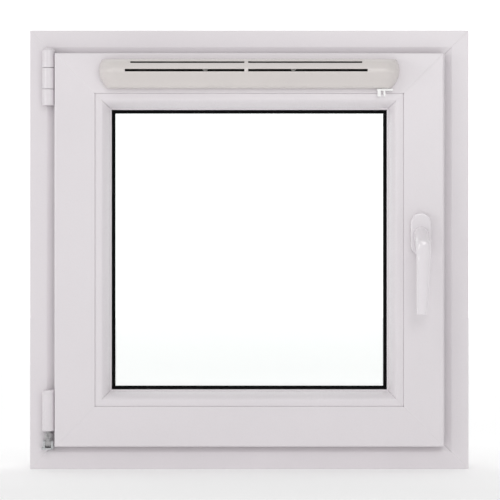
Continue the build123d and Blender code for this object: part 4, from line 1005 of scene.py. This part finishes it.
# ---- vent ----------------------------------------------------------------------------
@dataclass
class TrickleVent(SubAssembly):
    """The room-side vent cover with its two rows of slots, and its sliding control."""

    body: str = "sash"
    wall: float = 1.0
    slots: tuple[tuple[float, float, float], ...] = ((22.6, 4.2, 160.5), (34.4, 3.0, 153.5))
    web: float = 5.2
    shift: float = -4.0
    end_round: float = 11.0
    end_shape: tuple[float, float, float] = (192.8, 36.9, -30.0)

    def section(self, z: np.ndarray, height: float, depth: float) -> np.ndarray:
        """How far the cover stands out at each height.

        A smooth curve through keyed places: a quick rise round the lower edge, a nearly flat
        slope out to the ridge at the lower slot, a gentler slope back past the upper slot,
        and a quarter round to the upper edge.

        Args:
            z: heights above the cover's lower edge.
            height: the cover's height.
            depth: how far the ridge stands out.

        Returns:
            The distance out of the wall.
        """
        keys = np.array([0.0, 0.35, 1.2, 3.0, 6.0, 19.0, 20.6, 22.2, 30.0, 36.0])
        outs = np.array([5.0, 11.5, 15.2, 17.8, 20.6, 34.6, 36.4, 37.0, 33.5, 27.5])
        keys = np.concatenate([keys, height - np.array([2.2, 1.0, 0.3, 0.0])])
        outs = np.concatenate([outs * depth / 37.0, np.array([23.6, 20.0, 14.5, 8.0])])
        return smooth_steps(z, keys, outs)[:, 0]

    def heights(self, height: float) -> np.ndarray:
        """Row heights, close together at the edges and slots and on the rounded ends."""
        rows = [0.0, height]
        for middle, tall, _ in self.slots:
            rows += [middle - tall / 2, middle + tall / 2]
        s = (1 - np.cos(np.linspace(0, math.pi, 34))) / 2 * height
        keep = np.array([np.abs(np.array(rows) - v).min() > 0.35 for v in s])
        return np.unique(np.concatenate([rows, s[keep]]))

    def columns(self) -> np.ndarray:
        """Column places along the cover, with the slots' ends and the web among them."""
        ends = []
        for _, _, long in self.slots:
            for k in (-1, 1):
                ends += [self.shift + k * self.web / 2, self.shift + k * (self.web / 2 + long)]
        half = self.end_shape[0] - self.end_round
        base = np.linspace(-half, half, 61)
        keep = np.array([np.abs(np.array(ends) - v).min() > 0.8 for v in base])
        return np.unique(np.round(np.concatenate([ends, base[keep]]), 4))

    def build(self) -> None:
        """Makes the cover as an open skin with slots left out, then gives it a wall."""
        low, high = corner_box("vent_cover")
        height, depth = high[2] - low[2], high[1] - low[1]
        z = self.heights(height)
        x = self.columns()
        t = z / height
        end = self.end_shape[0] + self.end_shape[1] * t + self.end_shape[2] * t**2
        q = np.linspace(0, math.pi / 2, 9)[1:]
        tip_x = x[-1] + (end[:, None] - x[-1]) * np.sin(q)
        tip_out = np.cos(q)
        full_x = np.concatenate(
            [-tip_x[:, ::-1], np.broadcast_to(x, (len(z), len(x))), tip_x], axis=1
        )
        share = np.concatenate([tip_out[::-1], np.ones(len(x)), tip_out])
        out = self.section(z, height, depth)[:, None] * share[None]
        y = np.minimum(high[1] - out, high[1] - 0.02)
        grid = np.stack([full_x, y, low[2] + z[:, None] + 0 * full_x], -1)
        rim_low, rim_high = grid[:1].copy(), grid[-1:].copy()
        rim_low[..., 1] = rim_high[..., 1] = high[1]
        grid = np.concatenate([rim_low, grid, rim_high])
        rows, cols = grid.shape[:2]
        mid_x = (grid[:-1, :-1, 0] + grid[:-1, 1:, 0]) / 2
        mid_z = (grid[:-1, :-1, 2] + grid[1:, :-1, 2]) / 2 - low[2]
        solid = np.ones(mid_x.shape, bool)
        for middle, tall, long in self.slots:
            away = np.abs(mid_x - self.shift)
            open_x = (away > self.web / 2) & (away < self.web / 2 + long)
            solid &= ~(open_x & (np.abs(mid_z - middle) < tall / 2))
        a = np.arange(rows - 1)[:, None] * cols + np.arange(cols - 1)
        quads = np.stack([a, a + 1, a + cols + 1, a + cols], -1)[solid]
        piece = make_piece("vent_hood_cover", [(grid.reshape(-1, 3), quads.tolist())], 50.0)
        thick = piece.modifiers.new("wall", "SOLIDIFY")
        thick.thickness = self.wall * MM
        thick.offset = -1.0
        self.put(piece, VENT, "vent_plastic", "vent_cover")
        self.control()

    def control(self) -> None:
        """The sliding tab: a rounded bar with two prongs and a stem into the cover."""
        low, high = corner_box("vent_tab")
        foot = high[2] - 5.6
        mid = low[0] + 11.0
        parts = [
            ((low[0], high[0]), (low[1], high[1]), (foot, foot + 2.9), 0.7),
            ((mid - 10.0, mid - 5.5), (low[1], low[1] + 3.0), (low[2], foot + 0.5), 0.7),
            ((mid - 2.0, mid + 0.5), (low[1], low[1] + 3.0), (low[2], foot + 0.5), 0.5),
            ((mid - 4.0, mid + 4.0), (low[1] + 2.1, high[1] - 0.3), (foot + 2.0, high[2]), 0.4),
        ]
        skins = [rounded_block(x, y, z, r) for x, y, z, r in parts]
        self.put(make_piece("control_tab", skins), TAB, "tab_white", "vent_tab", body="vent_tab")


def rounded_block(
    x: tuple[float, float], y: tuple[float, float], z: tuple[float, float], r: float
) -> tuple[np.ndarray, list[list[int]]]:
    """A block with every edge rounded, as rings from its low face to its high one.

    Each ring is the rounded outline in x and y drawn in by r (1 - sin q) at height r (1 - cos q)
    from the end, with q from 0 to a quarter turn.

    Args:
        x: lowest and highest x.
        y: lowest and highest y.
        z: lowest and highest z.
        r: the edge radius.

    Returns:
        Points and faces.
    """
    q = np.linspace(0, math.pi / 2, 5)
    inset = np.concatenate([r * (1 - np.sin(q)), r * (1 - np.sin(q[::-1]))])
    height = np.concatenate([z[0] + r * (1 - np.cos(q)), z[1] - r * (1 - np.cos(q[::-1]))])
    corners = np.array([(x[0], y[0]), (x[1], y[0]), (x[1], y[1]), (x[0], y[1])])
    outline = rounded(corners, np.full(4, r))
    n = outward(outline)
    flat = outline[None] - n[None] * inset[:, None, None]
    tall = np.broadcast_to(height[:, None, None], (*flat.shape[:2], 1))
    return loft(np.concatenate([flat, tall], -1))


# ---- carried-over nodes --------------------------------------------------------------
def dress_nodes() -> None:
    """Gives every CAD node the finish of its material slot, and a few their own: the vent's base
    and flap get painted shade.
    """
    slots = {s["node"]: s["material_slot"] for s in frame["record"]["subparts"]}
    # Painted shade: the vent's base and flap wear near-black so that the slots read dark.
    own = {"vent_flap": PAINTED_SHADE, "vent_base": PAINTED_SHADE, "corner_band": HINGE}
    for name, piece in frame["nodes"].items():
        made = own.get(name, SLOT_FINISH[slots[name]]).material()
        for place in piece.material_slots:
            place.material = made
        log.info("%s wears %s", name, made.name)


# ---- studio --------------------------------------------------------------------------
@dataclass
class Studio:
    """A pale floor and backdrop, soft light and a camera square to the window.

    Attributes:
        distance: camera to the frame's room face, in metres.
        lens: focal length in millimetres.
        eye: height of the camera in metres, a little above the window's middle.
        aim: the height that the lens's shift brings to the middle, in metres.
        half: half the floor's width in metres.
        back: where the backdrop stands, in metres.
        front: where the floor begins to brighten, in metres.
        sky: strength of the even light from all round.
    """

    distance: float = 3.0
    lens: float = 157.9
    eye: float = 0.33
    aim: float = 0.2996
    half: float = 12.0
    back: float = 5.0
    front: float = -0.3
    sky: float = 0.57

    def sheet(
        self,
        name: str,
        corners: list[tuple[float, float, float]],
        near: float,
        far: float,
    ) -> None:
        """A flat pale rectangle that isn't part of the window.

        It shines by itself a little, from "near" in front of the window to "far" behind it.

        Args:
            name: its name.
            corners: four corners in order, in metres.
            near: its glow in front of the window.
            far: its glow behind the window.
        """
        mesh = bpy.data.meshes.new(name)
        mesh.from_pydata(corners, [], [[0, 1, 2, 3]])
        thing = bpy.data.objects.new(name, mesh)
        bpy.context.scene.collection.objects.link(thing)
        made = bpy.data.materials.new(name + "_paint")
        made.use_nodes = True
        nodes, links = made.node_tree.nodes, made.node_tree.links
        shader = nodes["Principled BSDF"]
        shader.inputs["Base Color"].default_value = (0.9, 0.9, 0.9, 1)
        shader.inputs["Roughness"].default_value = 0.9
        shader.inputs["Emission Color"].default_value = (1, 1, 1, 1)
        where = nodes.new("ShaderNodeTexCoord")
        split = nodes.new("ShaderNodeSeparateXYZ")
        glow = nodes.new("ShaderNodeMapRange")
        glow.inputs["From Min"].default_value = self.front
        glow.inputs["From Max"].default_value = -self.front
        glow.inputs["To Min"].default_value = near
        glow.inputs["To Max"].default_value = far
        links.new(where.outputs["Object"], split.inputs["Vector"])
        links.new(split.outputs["Y"], glow.inputs["Value"])
        links.new(glow.outputs["Result"], shader.inputs["Emission Strength"])
        mesh.materials.append(made)

    def area(
        self, name: str, at: tuple[float, float, float], size: float, power: float
    ) -> None:
        """A square soft light that faces the window's middle.

        Args:
            name: the light's name.
            at: its place in metres.
            size: its side in metres.
            power: watts.
        """
        data = bpy.data.lights.new(name, "AREA")
        data.size = size
        data.energy = power
        light = bpy.data.objects.new(name, data)
        bpy.context.scene.collection.objects.link(light)
        away = np.array(at) - np.array([0, 0, 0.3])
        flat = math.hypot(away[0], away[1])
        light.location = at
        light.rotation_euler = (
            math.atan2(flat, away[2]),
            0.0,
            math.atan2(away[0], -away[1]),
        )

    def build(self) -> None:
        """Makes the floor, the backdrop, the lights, the surrounding light and the camera."""
        w, b = self.half, self.back
        self.sheet("floor", [(-w, -w, 0), (w, -w, 0), (w, b, 0), (-w, b, 0)], 0.09, 0.25)
        self.sheet("backdrop", [(-w, b, 0), (w, b, 0), (w, b, w), (-w, b, w)], 0.6, 0.6)
        world = bpy.data.worlds.new("studio")
        world.use_nodes = True
        air = world.node_tree.nodes["Background"]
        air.inputs["Color"].default_value = (1.0, 1.0, 1.0, 1)
        air.inputs["Strength"].default_value = self.sky
        bpy.context.scene.world = world
        bpy.context.scene.view_settings.view_transform = "Standard"
        self.area("main", (0.35, -1.6, 0.95), 0.8, 5.0)
        self.area("side", (-2.2, -1.6, 0.7), 0.8, 8.5)
        self.area("high", (-0.7, -1.5, 1.8), 0.5, 2.2)
        data = bpy.data.cameras.new("camera")
        data.lens = self.lens
        data.sensor_width = 36.0
        camera = bpy.data.objects.new("camera", data)
        bpy.context.scene.collection.objects.link(camera)
        box = corner_box("frame_sill") * MM
        camera.location = (0.001, box[0, 1] - self.distance, self.eye)
        camera.rotation_euler = (math.pi / 2, 0, 0)
        drop = (self.eye - self.aim) / self.distance
        data.shift_y = -drop * data.lens / data.sensor_width
        bpy.context.scene.camera = camera


def main() -> None:
    """Builds the window in order, then the studio."""
    logging.basicConfig(level=logging.INFO, format="%(name)s: %(message)s")
    dress_nodes()
    for part in (OuterFrame(), Sash(), Glazing(), Handle(), Hinges(), TrickleVent()):
        log.info("building %s", type(part).__name__)
        part.build()
    Studio().build()


if __name__ == "__main__":
    main()
